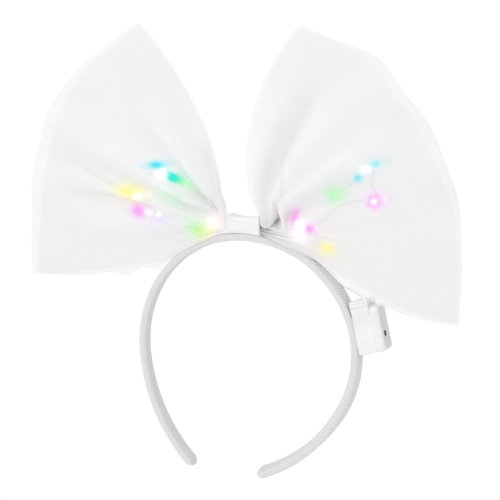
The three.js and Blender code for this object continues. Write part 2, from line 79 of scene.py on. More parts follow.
level_part = np.cos(ELEVATION)
to_camera = np.array(
    [np.sin(AZIMUTH) * level_part, -np.cos(AZIMUTH) * level_part, np.sin(ELEVATION)]
)
picture_right = np.array([np.cos(AZIMUTH), np.sin(AZIMUTH), 0])
picture_up = np.cross(to_camera, picture_right)
aim = LOOK_AT + AIM_RIGHT * picture_right + AIM_UP * picture_up
camera_data = bpy.data.cameras.new("camera")
camera_data.lens = SENSOR * DISTANCE / FIELD
camera_data.sensor_width = SENSOR
camera = put_in_scene("camera", camera_data)
aim_from(camera, aim + DISTANCE * to_camera, -to_camera)
bpy.context.scene.camera = camera
print("lens", round(camera_data.lens, 1), "mm")

# %% [markdown]
# ## Small tools for finishes
#
# A finish is a little network of nodes. It could be wired by hand in Blender's editor, but
# written down it can be read and repeated. One function reads a colour, one adds a node, one
# starts a material and one links the network's ends to its shader. The last lets a single
# pattern lead colour, roughness and bump together, because on a real surface they change at
# the same places.

# %% Colours and nodes


def linear(colour):
    """A colour written as sRGB hex, turned into the linear light values that shaders use."""
    channel = np.array([int(colour[i : i + 2], 16) for i in (1, 3, 5)]) / 255
    low = channel / 12.92
    high = ((channel + 0.055) / 1.055) ** 2.4
    return (*np.where(channel <= 0.04045, low, high).tolist(), 1.0)


def add_node(owner, kind, sockets=None, output=0, **settings):
    """One shader node of a material or a world, with its settings.

    A socket takes a plain value, or an output to link. Gives back one of the node's own
    outputs, ready to be linked further on.
    """
    tree = owner.node_tree
    made = tree.nodes.new("ShaderNode" + kind)
    for key, value in settings.items():
        setattr(made, key, value)
    for key, value in (sockets or {}).items():
        if isinstance(value, bpy.types.NodeSocket):
            tree.links.new(value, made.inputs[key])
        else:
            made.inputs[key].default_value = value
    return made.outputs[output] if made.outputs else None


print("middle grey in linear light:", round(linear("#808080")[0], 3))

# %% Materials and finishes
PRINCIPLED = "Principled BSDF"


def new_material(name, constants):
    """A material with one principled shader, its constant values set on its own sockets."""
    material = bpy.data.materials.new(name)
    material.use_nodes = True
    for key, value in constants.items():
        material.node_tree.nodes[PRINCIPLED].inputs[key].default_value = value
    return material


def feed(material, sockets):
    """Links outputs of nodes to sockets of a material's principled shader."""
    shader = material.node_tree.nodes[PRINCIPLED]
    for key, value in sockets.items():
        material.node_tree.links.new(value, shader.inputs[key])


def lead_finish(material, share, colours, roughness, depth, strength):
    """One pattern from 0 to 1 leads a finish.

    Colour and roughness go from their first value to their second with it, and the surface
    rises with it by a depth in millimetres.
    """
    ends = {"Factor": share, "A": linear(colours[0]), "B": linear(colours[1])}
    span = {"Value": share, "To Min": roughness[0], "To Max": roughness[1]}
    relief = {"Height": share, "Distance": depth * MM, "Strength": strength}
    colour = add_node(material, "Mix", ends, "Result", data_type="RGBA")
    rough = add_node(material, "MapRange", span)
    normal = add_node(material, "Bump", relief)
    feed(material, {"Base Color": colour, "Roughness": rough, "Normal": normal})
    return colour


print("materials so far:", len(bpy.data.materials))

# %% [markdown]
# ## Floor
#
# The picture has a white ground without a shadow. A white floor under a lamp would do, but it
# would throw light back at the cloth and show a shadow. Here the paper shines by itself, and
# only for the camera: the headband gets no light from it and doesn't mirror it.

# %% Floor
FLOOR_HEIGHT = -0.20
FLOOR_HALF = 30.0
BACKDROP = 1.03
floor_mesh = bpy.data.meshes.new("floor")
floor_corners = [(-1, -1), (1, -1), (1, 1), (-1, 1)]
floor_mesh.from_pydata(
    [(x * FLOOR_HALF, y * FLOOR_HALF, FLOOR_HEIGHT) for x, y in floor_corners], [], [(0, 1, 2, 3)]
)
# Even white all over, with no gloss.
floor_mesh.materials.append(
    new_material(
        "white_paper_sweep",
        {
            "Base Color": linear("#000000"),
            "Specular IOR Level": 0.0,
            "Emission Color": linear("#ffffff"),
            "Emission Strength": BACKDROP,
        },
    )
)
floor = put_in_scene("floor", floor_mesh)
floor.visible_diffuse = False
floor.visible_glossy = False
floor.visible_transmission = False
print("floor at", FLOOR_HEIGHT, "m")

# %% [markdown]
# ## Light
#
# A dark studio with strong lamps would model the folds more, but this is a catalogue picture:
# a white room from all sides, a little lighter on the left and from below, and one large lamp
# in front, so that white cloth stays white.

# %% Light
ROOM = 1.0
ROOM_LEFT = 0.09
ROOM_UP = -0.08
KEY_PLACE = np.array([-0.15, -1.4, 0.5])
KEY_SIZE = 0.9
KEY_POWER = 4.0
world = bpy.data.worlds.new("white_room")
bpy.context.scene.world = world
world.use_nodes = True
world.node_tree.nodes.clear()
direction = add_node(world, "TexCoord", output="Generated")
tilt = {0: direction, 1: (-ROOM_LEFT, 0.0, ROOM_UP)}
slope = add_node(world, "VectorMath", tilt, "Value", operation="DOT_PRODUCT")
strength = add_node(world, "Math", {0: slope, 1: ROOM}, operation="ADD")
seen = add_node(world, "LightPath", output="Is Camera Ray")
shown = add_node(world, "Mix", {"Factor": seen, "A": strength, "B": BACKDROP})
backdrop = add_node(world, "Background", {"Color": linear("#ffffff"), "Strength": shown})
add_node(world, "OutputWorld", {"Surface": backdrop})
key_data = bpy.data.lights.new("key", "AREA")
key_data.size = KEY_SIZE
key_data.energy = KEY_POWER
aim_from(put_in_scene("key", key_data), KEY_PLACE, -KEY_PLACE)
bpy.context.scene.view_settings.view_transform = "Standard"
print("room", ROOM, "key", KEY_POWER, "W")

# %% [markdown]
# ## Grids of points
#
# A mesh could be pulled into shape by hand from a plane. Here a piece is a grid of points
# worked out at once with numpy, so that the same numbers give the same piece every time.
# Each grid carries flat coordinates in millimetres, on which a weave keeps its true size.
# From here on every size is in millimetres.

# %% Meshes from grids of points


def grid_mesh(name, points, flat, closed=(False, False)):
    """A mesh of four-sided faces over a grid of points.

    points has a row and a column for each of the two parameters. flat holds the flat
    coordinates at the same places, with one more row or column where the grid closes on
    itself, so that a pattern can meet itself there.
    """
    rows, columns = points.shape[:2]
    i, j = np.meshgrid(
        np.arange(rows - (not closed[0])), np.arange(columns - (not closed[1])), indexing="ij"
    )
    corners = [(i, j), (i + 1, j), (i + 1, j + 1), (i, j + 1)]
    faces = np.stack([(a % rows) * columns + b % columns for a, b in corners], axis=-1)
    faces = faces.reshape(-1, 4)
    corner_flat = np.stack([flat[a, b] for a, b in corners], axis=-2).astype(np.float32)
    mesh = bpy.data.meshes.new(name)
    mesh.from_pydata((points.reshape(-1, 3) * MM).tolist(), [], faces.tolist())
    mesh.uv_layers.new(name="flat").data.foreach_set("uv", corner_flat.ravel())
    mesh.polygons.foreach_set("use_smooth", np.ones(len(faces), bool))
    mesh.update()
    return mesh


def flat_grid(along, around):
    """Flat coordinates of a grid: one distance along it and one round or across it."""
    return np.stack(np.meshgrid(along, around, indexing="ij"), axis=-1)


def add_piece(name, mesh, material, nodes):
    """A finished mesh becomes a piece: it rides on its body and stands for CAD nodes."""
    piece = put_in_scene(name, mesh)
    mesh.materials.append(material)
    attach(piece, BODY)
    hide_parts(*nodes)
    print(name, len(mesh.polygons), "faces")
    return piece


print("flat coordinates of 3 by 4 points:", flat_grid(np.arange(3), np.arange(4)).shape)

# %% [markdown]
# ## The headband
#
# A strip of spring plastic bent into an open hoop, pulled through a knitted tube. A curve
# with a bevel would give the hoop too, but not the section's slow turn about its own line.
# So we walk along the strip: each arm is three arcs, and a rounded section goes with us.

# %% Walk along the arms
SEAT = 2.0


def table(columns, *rows):
    """Rows of named values: the names are given once and go with the values of every row."""
    return [dict(zip(columns.split(), row)) for row in rows]


RIGHT_ARM = table("radius sweep twist", (79, 26, 2), (67, 95, 5), (97, 41, -17))
LEFT_ARM = table("radius sweep twist", (64, 60, 4), (71, 35, 5), (110, 41, -5))


def arm_length(arm):
    """Whole length of an arm: radius times swept angle, summed over its arcs."""
    return sum(arc["radius"] * np.radians(arc["sweep"]) for arc in arm)


def walk(arm, side, length):
    """Middle line, outward direction and twist at lengths from the knot along an arm.

    On each arc the heading grows by length over radius, and the place moves by the radius
    times the change in the heading's sine and cosine.
    """
    length = np.asarray(length, float)
    x = np.zeros_like(length)
    z = np.full_like(length, SEAT)
    heading = np.zeros_like(length)
    twist = np.zeros_like(length)
    done = 0.0
    twist_before = 0.0
    for arc in arm:
        whole = arc["radius"] * np.radians(arc["sweep"])
        step = np.clip(length - done, 0, whole)
        turned = heading + step / arc["radius"]
        x += arc["radius"] * (np.sin(turned) - np.sin(heading))
        z += arc["radius"] * (np.cos(turned) - np.cos(heading))
        heading = turned
        twist += (arc["twist"] - twist_before) * step / whole
        twist_before = arc["twist"]
        done += whole
    zero = np.zeros_like(x)
    place = np.stack([side * x, zero, z], axis=-1)
    out = np.stack([side * np.sin(heading), zero, np.cos(heading)], axis=-1)
    return place, out, np.radians(twist)


left_length, right_length = arm_length(LEFT_ARM), arm_length(RIGHT_ARM)
print("strip length", round(left_length + right_length), "mm")

# %% [markdown]
# ## The strip in its cover
#
# The cover is a little loose on the strip. A copy of the solid pushed outwards would be loose
# everywhere alike; on the real band it stands off low on the right arm, and above the box the
# lead pulls it round to the front. So two bells along the arm say where.

# %% Section of the strip
BAND_WIDTH = 10.4
BAND_THICKNESS = 4.2
BAND_EDGE = 1.9
CORNER_STEPS = 8


def rounded_rectangle(width, height, radii, per_corner):
    """Points round a rectangle whose corners are quarter circles, from the right side on."""
    turn = np.radians(90 * (np.arange(4)[:, None] + np.linspace(0, 1, per_corner + 1)[None, :]))
    radius = np.broadcast_to(np.asarray(radii, float).reshape(-1, 1), (4, 1))
    sign_x = np.array([1, -1, -1, 1])[:, None]
    sign_y = np.array([1, 1, -1, -1])[:, None]
    x = sign_x * (width / 2 - radius) + radius * np.cos(turn)
    y = sign_y * (height / 2 - radius) + radius * np.sin(turn)
    return np.stack([x, y], axis=-1).reshape(-1, 2)


def distance_along(points):
    """Length run from the first point to each point of a path."""
    steps = np.linalg.norm(np.diff(points, axis=0), axis=1)
    return np.concatenate([[0], np.cumsum(steps)])


strip_ring = rounded_rectangle(BAND_WIDTH, BAND_THICKNESS, BAND_EDGE, CORNER_STEPS)
around_strip = distance_along(np.concatenate([strip_ring, strip_ring[:1]]))
print("round the strip:", around_strip[-1].round(1), "mm")

# %% The covered strip
BAND_TIP = 5.0
BAND_STEPS = 150
LOFT = 0.3
LOOSE = {"along": 172, "long": 38, "loft": 0.6}
PULLED = {"along": 62, "long": 24, "twist": 11}


def bell(place, middle, width):
    """A bell: e to the power of minus the square of the distance from its middle over its width."""
    return np.exp(-(((place - middle) / width) ** 2))


def band_mesh():
    """A rounded rectangle carried along both arms; near each tip it closes like a circle's edge.

    On the right arm the cover is loose low down and stands further off the strip, and above
    the box the lead pulls it round to the front: each is a bell along the arm.
    """
    ease = 0.5 - 0.5 * np.cos(np.linspace(0, np.pi, BAND_STEPS))
    left, left_out, left_twist = walk(LEFT_ARM, -1, left_length * (1 - ease[:-1]))
    right, right_out, right_twist = walk(RIGHT_ARM, 1, right_length * ease)
    place = np.concatenate([left, right])
    out = np.concatenate([left_out, right_out])
    along = np.concatenate([-left_length * (1 - ease[:-1]), right_length * ease])
    pulled = np.radians(PULLED["twist"]) * bell(along, PULLED["along"], PULLED["long"])
    twist = (np.concatenate([left_twist, right_twist]) + pulled)[:, None]
    to_tip = np.clip(np.minimum(along + left_length, right_length - along) / BAND_TIP, 0, 1)
    close = np.sqrt(1 - (1 - to_tip) ** 2)[:, None, None]
    level = np.array([0.0, 1.0, 0.0])
    face = np.cos(twist) * out - np.sin(twist) * level
    across = np.sin(twist) * out + np.cos(twist) * level
    loft = LOFT + LOOSE["loft"] * bell(along, LOOSE["along"], LOOSE["long"])
    thicker = (1 + 2 * loft / BAND_THICKNESS)[:, None, None] * (0.5 + 0.5 * close)
    wide, thick = strip_ring[None, :, :1], strip_ring[None, :, 1:]
    points = place[:, None] + close * (wide * across[:, None] + thick * face[:, None] * thicker)
    flat = flat_grid(along, around_strip)
    return grid_mesh("headband_cover", points, flat, closed=(False, True))


strip_mesh = band_mesh()
print("points on the strip:", len(strip_mesh.vertices))

# %% [markdown]
# ## Knitted cover
#
# The cover is a fine polyester knit, tubular, with its loops in two slants. On the outer face
# above the box they are drawn into low ribs. On the inner face the loops are drawn lower and
# darker, as painted shade. Modelling every loop would take millions of faces, so two crossed
# waves a millimetre apart stand for the loops, and a wider one for the ribs.

# %% Loops of the knit
LOOP_PITCH = 1.0
LOOP_SLANT = np.radians(52)


def wave(material, flat, along, pitch):
    """A wave over flat coordinates: the cosine of the distance along a direction over the pitch."""
    scaled = (2 * np.pi / pitch * along[0], 2 * np.pi / pitch * along[1], 0.0)
    sockets = {0: flat, 1: scaled}
    distance = add_node(material, "VectorMath", sockets, "Value", operation="DOT_PRODUCT")
    return add_node(material, "Math", {0: distance}, operation="COSINE")


# Matt, pale on top of each loop and grey between them.
knit = new_material(
    "knitted_polyester_tube",
    {"Sheen Weight": 0.25, "Sheen Roughness": 0.5, "Specular IOR Level": 0.25},
)
knit_flat = add_node(knit, "UVMap", uv_map="flat")
slanted = wave(knit, knit_flat, (np.cos(LOOP_SLANT), np.sin(LOOP_SLANT)), LOOP_PITCH)
crossed = wave(knit, knit_flat, (np.cos(LOOP_SLANT), -np.sin(LOOP_SLANT)), LOOP_PITCH)
loops = add_node(knit, "Math", {0: slanted, 1: crossed}, operation="ADD")
# Two waves add up to between -2 and 2; over 0.6 they are cut off, as loops have flat tops.
loop_height = add_node(knit, "MapRange", {"Value": loops, "From Min": -2.0, "From Max": 0.6})
print("loops", LOOP_PITCH, "mm apart")

# %% Ribs of the knit
RIB_PITCH = 2.0
RIB_SLANT = 0.25
RIB_LOW = 0.4
RIBS_AT = 62.0
RIBS_NEAR = 25.0
RIBS_FAR = 45.0
OUTER_FACE_MIDDLE = 6.3
FACE_HALF = 4.5
rib_wave = wave(knit, knit_flat, (1.0, RIB_SLANT), RIB_PITCH)
rib_range = {"Value": rib_wave, "From Min": -1.0, "From Max": 0.6, "To Min": RIB_LOW}
rib_height = add_node(knit, "MapRange", rib_range)
along_strip = add_node(knit, "SeparateXYZ", {0: knit_flat}, "X")
round_strip = add_node(knit, "SeparateXYZ", {0: knit_flat}, "Y")
outer_range = {0: round_strip, 1: OUTER_FACE_MIDDLE, 2: FACE_HALF}
on_outer = add_node(knit, "Math", outer_range, operation="COMPARE")
from_ribs = add_node(knit, "Math", {0: along_strip, 1: RIBS_AT}, operation="SUBTRACT")
from_ribs = add_node(knit, "Math", {0: from_ribs}, operation="ABSOLUTE")
near_range = {"Value": from_ribs, "From Min": RIBS_FAR, "From Max": RIBS_NEAR}
near_ribs = add_node(knit, "MapRange", near_range)
rib_share = add_node(knit, "Math", {0: on_outer, 1: near_ribs}, operation="MULTIPLY")
ribbed = add_node(knit, "Mix", {"Factor": rib_share, "A": 1.0, "B": rib_height}, "Result")
stitches = add_node(knit, "Math", {0: loop_height, 1: ribbed}, operation="MULTIPLY")
print("ribs", RIB_PITCH, "mm apart, over", 2 * RIBS_FAR, "mm of the right arm")

# %% Flecks and the finished cover
FLECK_SIZE = 1.1
FLECK_LOW = 0.78
INNER_FACE_MIDDLE = 19.2
# How much painted shade darkens the inner face.
INNER_FACE_SHADE = 0.22
patch_settings = {"Vector": knit_flat, "Scale": 1 / FLECK_SIZE, "Detail": 3.0}
patchy = add_node(knit, "TexNoise", patch_settings)
fleck_range = {"Value": patchy, "From Min": 0.35, "From Max": 0.65, "To Min": FLECK_LOW}
fleck = add_node(knit, "MapRange", fleck_range)
inner_range = {0: round_strip, 1: INNER_FACE_MIDDLE, 2: FACE_HALF}
on_inner = add_node(knit, "Math", inner_range, operation="COMPARE")
# Painted shade: the loops on the inner face are made darker and lower.
inner_shade = add_node(knit, "Math", {0: on_inner, 1: -INNER_FACE_SHADE, 2: 1.0}, operation="MULTIPLY_ADD")
for part in (fleck, inner_shade):
    stitches = add_node(knit, "Math", {0: stitches, 1: part}, operation="MULTIPLY")
lead_finish(knit, stitches, ("#bfbfbf", "#e4e4e4"), (0.95, 0.8), depth=0.18, strength=0.6)
add_piece("headband_cover", strip_mesh, knit, ["headband"])

# %% [markdown]
# ## The tulle bow
#
# Two panels of nylon net lie one behind the other, and the knot gathers both. A cloth
# simulation could drop them into place, but their outline and folds are known from the
# photograph, so they are written down: in each wing a point has a reach, from the knot to
# the raw outer edge, and a share, from the lower edge to the upper one. The outline comes
# from short tables, each fold is a bell across the share, and gathers are waves that die
# away from the knot.

# %% Wings of the bow
FRONT = {"neck": -2.9, "back": 0, "tinted": 1}
BACK = {"neck": 1.9, "back": 1, "tinted": 0.6}
LEFT_WING = {
    "side": -1,
    "edge": table(
        "at out up",
        (0, 142, -28), (0.17, 137, 4), (0.31, 131, 31), (0.53, 116, 70),
        (0.72, 93, 98), (0.87, 69, 115), (1, 47, 128),
    ),
    "upper": {"near_out": -17, "near_up": -6, "far_out": -20, "far_up": -4},
    "lower": {"near_out": -16, "near_up": 1, "far_out": -32, "far_up": -7},
    "back_hang": 6,
    "folds": table(
        "share width rise reach",
        (0.85, 0.05, 4, 0.75), (0.75, 0.05, -5, 0.7), (0.58, 0.06, 4, 1),
        (0.46, 0.05, -5, 1), (0.32, 0.05, -4, 1), (0.2, 0.07, 4, 0.9),
    ),
}
RIGHT_WING = {
    "side": 1,
    "edge": table(
        "at out up",
        (0, 131, -45), (0.25, 134, 7), (0.37, 132, 31), (0.55, 120, 68),
        (0.67, 106, 89), (0.79, 93, 108), (0.9, 70, 118), (1, 51, 126),
    ),
    "upper": {"near_out": -17, "near_up": -6, "far_out": -26, "far_up": -2},
    "lower": {"near_out": -7, "near_up": 14, "far_out": -19, "far_up": -10},
    "back_hang": 0,
    "folds": table(
        "share width rise reach",
        (0.96, 0.05, 4, 0.8), (0.87, 0.05, -6, 0.85), (0.77, 0.06, 4, 0.9),
        (0.6, 0.05, 5, 0.9), (0.48, 0.06, -4, 0.8), (0.2, 0.07, 3, 0.8),
    ),
}
print("folds:", len(LEFT_WING["folds"]) + len(RIGHT_WING["folds"]))

# %% Values between the rows of a table


def smooth(t):
    """The soft step from 0 to 1: three t squared less two t cubed."""
    t = np.clip(t, 0, 1)
    return t * t * (3 - 2 * t)


def column(rows, name):
    """One column of a table as an array."""
    return np.array([row[name] for row in rows], float)


def between(rows, name, place):
    """A table's value at any place: a cubic through the rows, its slopes taken from neighbours."""
    at, value = column(rows, "at"), column(rows, name)
    wide = np.concatenate([[0], np.arange(len(at)), [len(at) - 1]])
    slope = (value[wide[2:]] - value[wide[:-2]]) / (at[wide[2:]] - at[wide[:-2]])
    i = np.clip(np.searchsorted(at, place) - 1, 0, len(at) - 2)
    span = at[i + 1] - at[i]
    t = (place - at[i]) / span
    return (
        value[i] * (1 + 2 * t) * (1 - t) ** 2
        + slope[i] * span * t * (1 - t) ** 2
        + value[i + 1] * t * t * (3 - 2 * t)
        + slope[i + 1] * span * t * t * (t - 1)
    )


print("left edge half way up is", between(LEFT_WING["edge"], "out", 0.5).round(1), "mm out")

# %% Sizes of a panel
NECK_OUT = 10.6
NECK_LOW = 6.4
NECK_HIGH = 12.8
LEAN = 0.32
SWEEP = 0.05
LEAN_START = 3.0
LEAVE = 0.18
PUFF = 5.0
BACK_PUFF = 9.0
BACK_ROUND = 0.6
EDGE_APART = 5.5
EDGE_OPEN = 10.0
EDGE_PULL = 4
EDGE_HANG = 6
HANG_START = 0.28
HANG_SOFT = 0.2
PLEATS = 3
PLEAT_NECK = 0.35
PLEAT_DEPTH = 1.0
PLEAT_REACH = 0.17
print("apart at the knot:", round(BACK["neck"] - FRONT["neck"], 1), "mm")

# %% A panel's surface


def wing_surface(wing, layer, reach, share):
    """Places of a panel in one wing.

    Out and up are cubics in the reach from the neck to the outer edge. Depth is the bow's
    forward lean, plus the swell of the wing, the space between the panels, the folds and
    the gathers beside the knot.
    """
    reach, share = np.broadcast_arrays(np.asarray(reach, float), np.asarray(share, float))
    high, low, rest = share**EDGE_PULL, (1 - share) ** EDGE_PULL, 1 - reach
    upper, lower = wing["upper"], wing["lower"]
    starts = {"out": NECK_OUT + 0 * share, "up": NECK_LOW + (NECK_HIGH - NECK_LOW) * share}
    places = {}
    for key, start in starts.items():
        end = between(wing["edge"], key, share)
        near = start + (end - start) / 3 + upper[f"near_{key}"] * high + lower[f"near_{key}"] * low
        far = start + (end - start) * 2 / 3 + upper[f"far_{key}"] * high + lower[f"far_{key}"] * low
        places[key] = (
            start * rest**3
            + near * 3 * reach * rest**2
            + far * 3 * reach**2 * rest
            + end * reach**3
        )
    hanging = smooth((reach - HANG_START) / HANG_SOFT) * np.sin(np.pi * reach)
    hanging = hanging * (1 - share) ** EDGE_HANG
    out, up = places["out"], places["up"] - layer["back"] * wing["back_hang"] * hanging
    across = np.sin(np.pi * share)
    opening = EDGE_APART + EDGE_OPEN * across
    neck_apart = BACK["neck"] - FRONT["neck"]
    bow = np.clip(np.sin(np.pi * reach), 0, 1)
    apart = neck_apart + (opening - neck_apart) * smooth(reach)
    apart = apart + BACK_PUFF * bow**BACK_ROUND * across
    leaned = -LEAN_START - LEAN * up - SWEEP * out - PUFF * bow * across + layer["back"] * apart
    deep = layer["neck"] + (leaned - layer["neck"]) * smooth(reach / LEAVE)
    for fold in wing["folds"]:
        along = np.sin(np.pi * np.clip(reach / fold["reach"], 0, 1))
        deep = deep - fold["rise"] * bell(share, fold["share"], fold["width"]) * along
    gather = PLEAT_NECK + PLEAT_DEPTH * reach / PLEAT_REACH * np.exp(1 - reach / PLEAT_REACH)
    deep = deep - gather * np.cos(2 * np.pi * PLEATS * share)
    return np.stack([wing["side"] * out, deep, up], axis=-1)


print("tip of the left wing:", wing_surface(LEFT_WING, FRONT, 1, 1).round(1))

# %% [markdown]
# ## What the plain solid leaves out
#
# Real net is never as smooth as that. Beside the knot it gathers finely, it keeps crinkles,
# and its raw edge flutters. A displacement modifier could shake the surface, but not along
# the gathers, so each of these is a wave in reach and share.

# %% Fine gathers and flutter
SIDE_PHASE = 0.9
BACK_PHASE = 0.7
FINE = {"pleats": 9, "depth": 0.3, "reach": 0.3, "start": 0.04}
SECOND = {"more": 1.63, "part": 0.6, "phase": 2.1, "drift": 3}
CRINKLE = {"depth": 0.3, "waves": 5.3, "drift": 9, "cross_waves": 3.1, "cross_drift": 21}
FLUTTER = {"depth": 1.6, "start": 0.72, "waves": 4.2}


def fine_cloth(wing, layer, reach, share):
    """Fine gathers that die away from the knot, crossed crinkles, and a flutter at the raw edge."""
    turn = 2 * np.pi * share
    phase = SIDE_PHASE * wing["side"] + BACK_PHASE * layer["back"]
    first = np.cos(FINE["pleats"] * turn + phase)
    second = np.cos(SECOND["more"] * FINE["pleats"] * turn + SECOND["phase"] + SECOND["drift"] * reach)
    gathers = FINE["depth"] * bell(reach, 0, FINE["reach"]) * smooth(reach / FINE["start"])
    crinkle = np.cos(CRINKLE["waves"] * turn + CRINKLE["drift"] * reach + phase)
    crossing = np.cos(CRINKLE["cross_waves"] * turn - CRINKLE["cross_drift"] * reach)
    loose = smooth((reach - FLUTTER["start"]) / (1 - FLUTTER["start"])) * np.sin(np.pi * share)
    return (
        gathers * (first + SECOND["part"] * second)
        + CRINKLE["depth"] * np.sin(np.pi * reach) * crinkle * crossing
        + FLUTTER["depth"] * loose * np.sin(FLUTTER["waves"] * turn + phase)
    )


print("the raw edge flutters by", FLUTTER["depth"], "mm")

# %% [markdown]
# ## Rolls beside the knot
#
# On the right the front panel is pulled out of the knot in two rolls that fold over and hang.
# They could be sculpted by hand; a small table says for every share how far the net moves
# out, forward and down, and can be changed one number at a time.

# %% Rolls
FAN_REACH = 0.05
FAN = table(
    "at out forward drop",
    (0, 0, 1, 0.5),
    (0.3, 3, 0.5, 2.5),
    (0.5, 9, 0, 4),
    (0.56, 15.5, 4, 3.5),
    (0.62, 16, 6, 7),
    (0.69, 12.6, 4, 4.5),
    (0.75, 9.5, -6, 1),
    (0.82, 8.3, 4, 5.5),
    (0.88, 7, 5.5, 7.4),
    (0.94, 5.4, 4.5, 7),
    (1, 3.6, 2, 2.5),
)


def fanned(reach, share):
    """Moves of the right wing's front panel where it leaves the knot in rolls.

    Every share has its own move. Along the reach it rises at once and dies away slowly: t
    times e to the power of one less t.
    """
    t = reach / FAN_REACH
    out, forward, drop = (between(FAN, name, share) for name in ("out", "forward", "drop"))
    return (t * np.exp(1 - t))[..., None] * np.stack([out, -forward, -drop], axis=-1)


print("rolls stand out by up to", column(FAN, "out").max(), "mm")

# %% [markdown]
# ## Hanging lower edges
#
# The lower edges sag on to the band and over it, and on the left the back panel's raw edge
# droops in lobes. A simulation would find the sag by itself, but slowly. A table of the sag
# along the reach gives it at once, and keeps the edge where the photograph has it.

# %% Hanging lower edges
RIGHT_HANG = table(
    "at forward drop",
    (0, 0, 0), (0.1, 0.8, 2.5), (0.2, 0.8, 3), (0.3, 1.2, 1.6), (0.4, 0, 0.6),
    (0.5, 0, 2.4), (0.6, 1, 3.6), (0.7, 3, 3), (0.8, 2, 2.5), (1, 0, 0),
)
LEFT_HANG = table(
    "at forward drop",
    (0, 0.4, 1.8), (0.04, 0.6, 2.2), (0.1, 0.8, 2.4), (0.2, 0.8, 2.6), (0.3, 1.4, 3.6),
    (0.4, 1.2, 4.6), (0.5, 0, 2.6), (0.7, 0, 0), (1, 0, 0),
)
BACK_SHARE = 0.35
LOBES = {"count": 6, "drop": 1.4, "from": 0.35, "to": 0.85, "soft": 0.12, "hang": 8}


def window(place, start, stop, rise, fall):
    """One between two places and nothing outside them, with a soft step at each."""
    return smooth((place - start) / rise) * smooth((stop - place) / fall)


def hung(wing, layer, reach, share):
    """Moves of the lower edges: one for every reach, times a power of the way from the upper edge.

    The back panel hangs less, and on the left its raw edge droops in lobes, a wave along
    the reach.
    """
    rows = LEFT_HANG if wing is LEFT_WING else RIGHT_HANG
    low = (BACK_SHARE if layer is BACK else 1.0) * (1 - share) ** EDGE_HANG
    forward = between(rows, "forward", reach) * low
    drop = between(rows, "drop", reach) * low
    if layer is BACK and wing is LEFT_WING:
        lobes = np.cos(2 * np.pi * LOBES["count"] * reach) * (1 - share) ** LOBES["hang"]
        lobes = lobes * window(reach, LOBES["from"], LOBES["to"], LOBES["soft"], LOBES["soft"])
        drop = drop + LOBES["drop"] * lobes
    return np.stack([0 * drop, -forward, -drop], axis=-1)


print("lower edges sag by up to", column(LEFT_HANG, "drop").max(), "mm")

# %% [markdown]
# ## Creases
#
# Creases stay in the net from its packet. Painted lines would stay put when the light moves,
# so most rows bend the surface as well as paint shade along it. Two rows are only painted shade:
# the left wing's upper edge where it turns away from us, and the line that the wire draws in the right
# wing.

# %% Creases
CREASE_STARTS = 0.06
CREASE_ENDS = 0.15
CREASES = table(
    "wing width depth shade reach share",
    (RIGHT_WING, 0.022, -1.2, 0.04, [0.05, 0.24, 0.39, 0.62, 0.83], [0.74, 0.69, 0.84, 0.85, 0.87]),
    (LEFT_WING, 0.05, -1.8, 0.14,
     [0.03, 0.08, 0.13, 0.18, 0.23, 0.3], [0.72, 0.75, 0.82, 0.75, 0.74, 0.72]),
    (LEFT_WING, 0.05, -1.5, 0.12, [0.05, 0.12, 0.15, 0.2, 0.36], [0.63, 0.59, 0.55, 0.51, 0.5]),
    (LEFT_WING, 0.014, -1.3, 0.09, [0.35, 0.61, 0.89], [0.39, 0.41, 0.45]),
    (LEFT_WING, 0.014, -1.2, 0.06, [0.35, 0.61, 0.89], [0.35, 0.34, 0.31]),
    (LEFT_WING, 0.035, 0, 0.1, [0.1, 0.3, 0.5], [0.96, 0.975, 0.98]),
    (RIGHT_WING, 0.008, 0, 0.1, [0.31, 0.44, 0.53, 0.7], [0.26, 0.40, 0.42, 0.40]),
)


def creased(wing, reach, share, key):
    """Depth in millimetres, or shade, of narrow creases.

    Each is a bell about a line of shares that the crease follows along the reach.
    """
    total = 0 * reach * share
    for crease in CREASES:
        if crease["wing"] is wing:
            first, last = crease["reach"][0], crease["reach"][-1]
            inside = window(reach, first, last, CREASE_STARTS, CREASE_ENDS)
            line = np.interp(reach, crease["reach"], crease["share"])
            total = total + crease[key] * inside * bell(share, line, crease["width"])
    return total


print("creases:", len(CREASES))

# %% [markdown]
# ## Whole panels
#
# A panel runs from the left raw edge through the knot to the right one. Two wings and a neck
# could be joined afterwards, but in one grid the net has no seam at the knot. The columns
# crowd towards the knot, where the folds are narrow.

# %% Whole panels
WING_COLUMNS = 130
WING_CROWDING = 1.3
PANEL_ROWS = 180
NECK_COLUMNS = 10
FRONT_SHORT = {"by": 0.02, "from": 0.3, "to": 0.95, "soft": 0.2}
column_reach = (np.linspace(0, 1, WING_COLUMNS) ** WING_CROWDING)[:, None]
row_share = np.linspace(0, 1, PANEL_ROWS)[None, :]


def wing_grid(wing, layer):
    """One wing of one panel: the plain surface with all that the plain solid leaves out.

    The right wing's front panel is cut a little short, so that a strip of the back one shows.
    """
    reach, share = np.broadcast_arrays(column_reach, row_share)
    rolled = layer is FRONT and wing is RIGHT_WING
    if rolled:
        ends = (FRONT_SHORT["from"], FRONT_SHORT["to"], FRONT_SHORT["soft"], FRONT_SHORT["soft"])
        reach = reach * (1 - FRONT_SHORT["by"] * window(share, *ends))
    points = wing_surface(wing, layer, reach, share)
    points[..., 1] -= fine_cloth(wing, layer, reach, share)
    if layer is FRONT:
        points[..., 1] -= creased(wing, reach, share, "depth")
    if rolled:
        points += fanned(reach, share)
    return points + hung(wing, layer, reach, share)


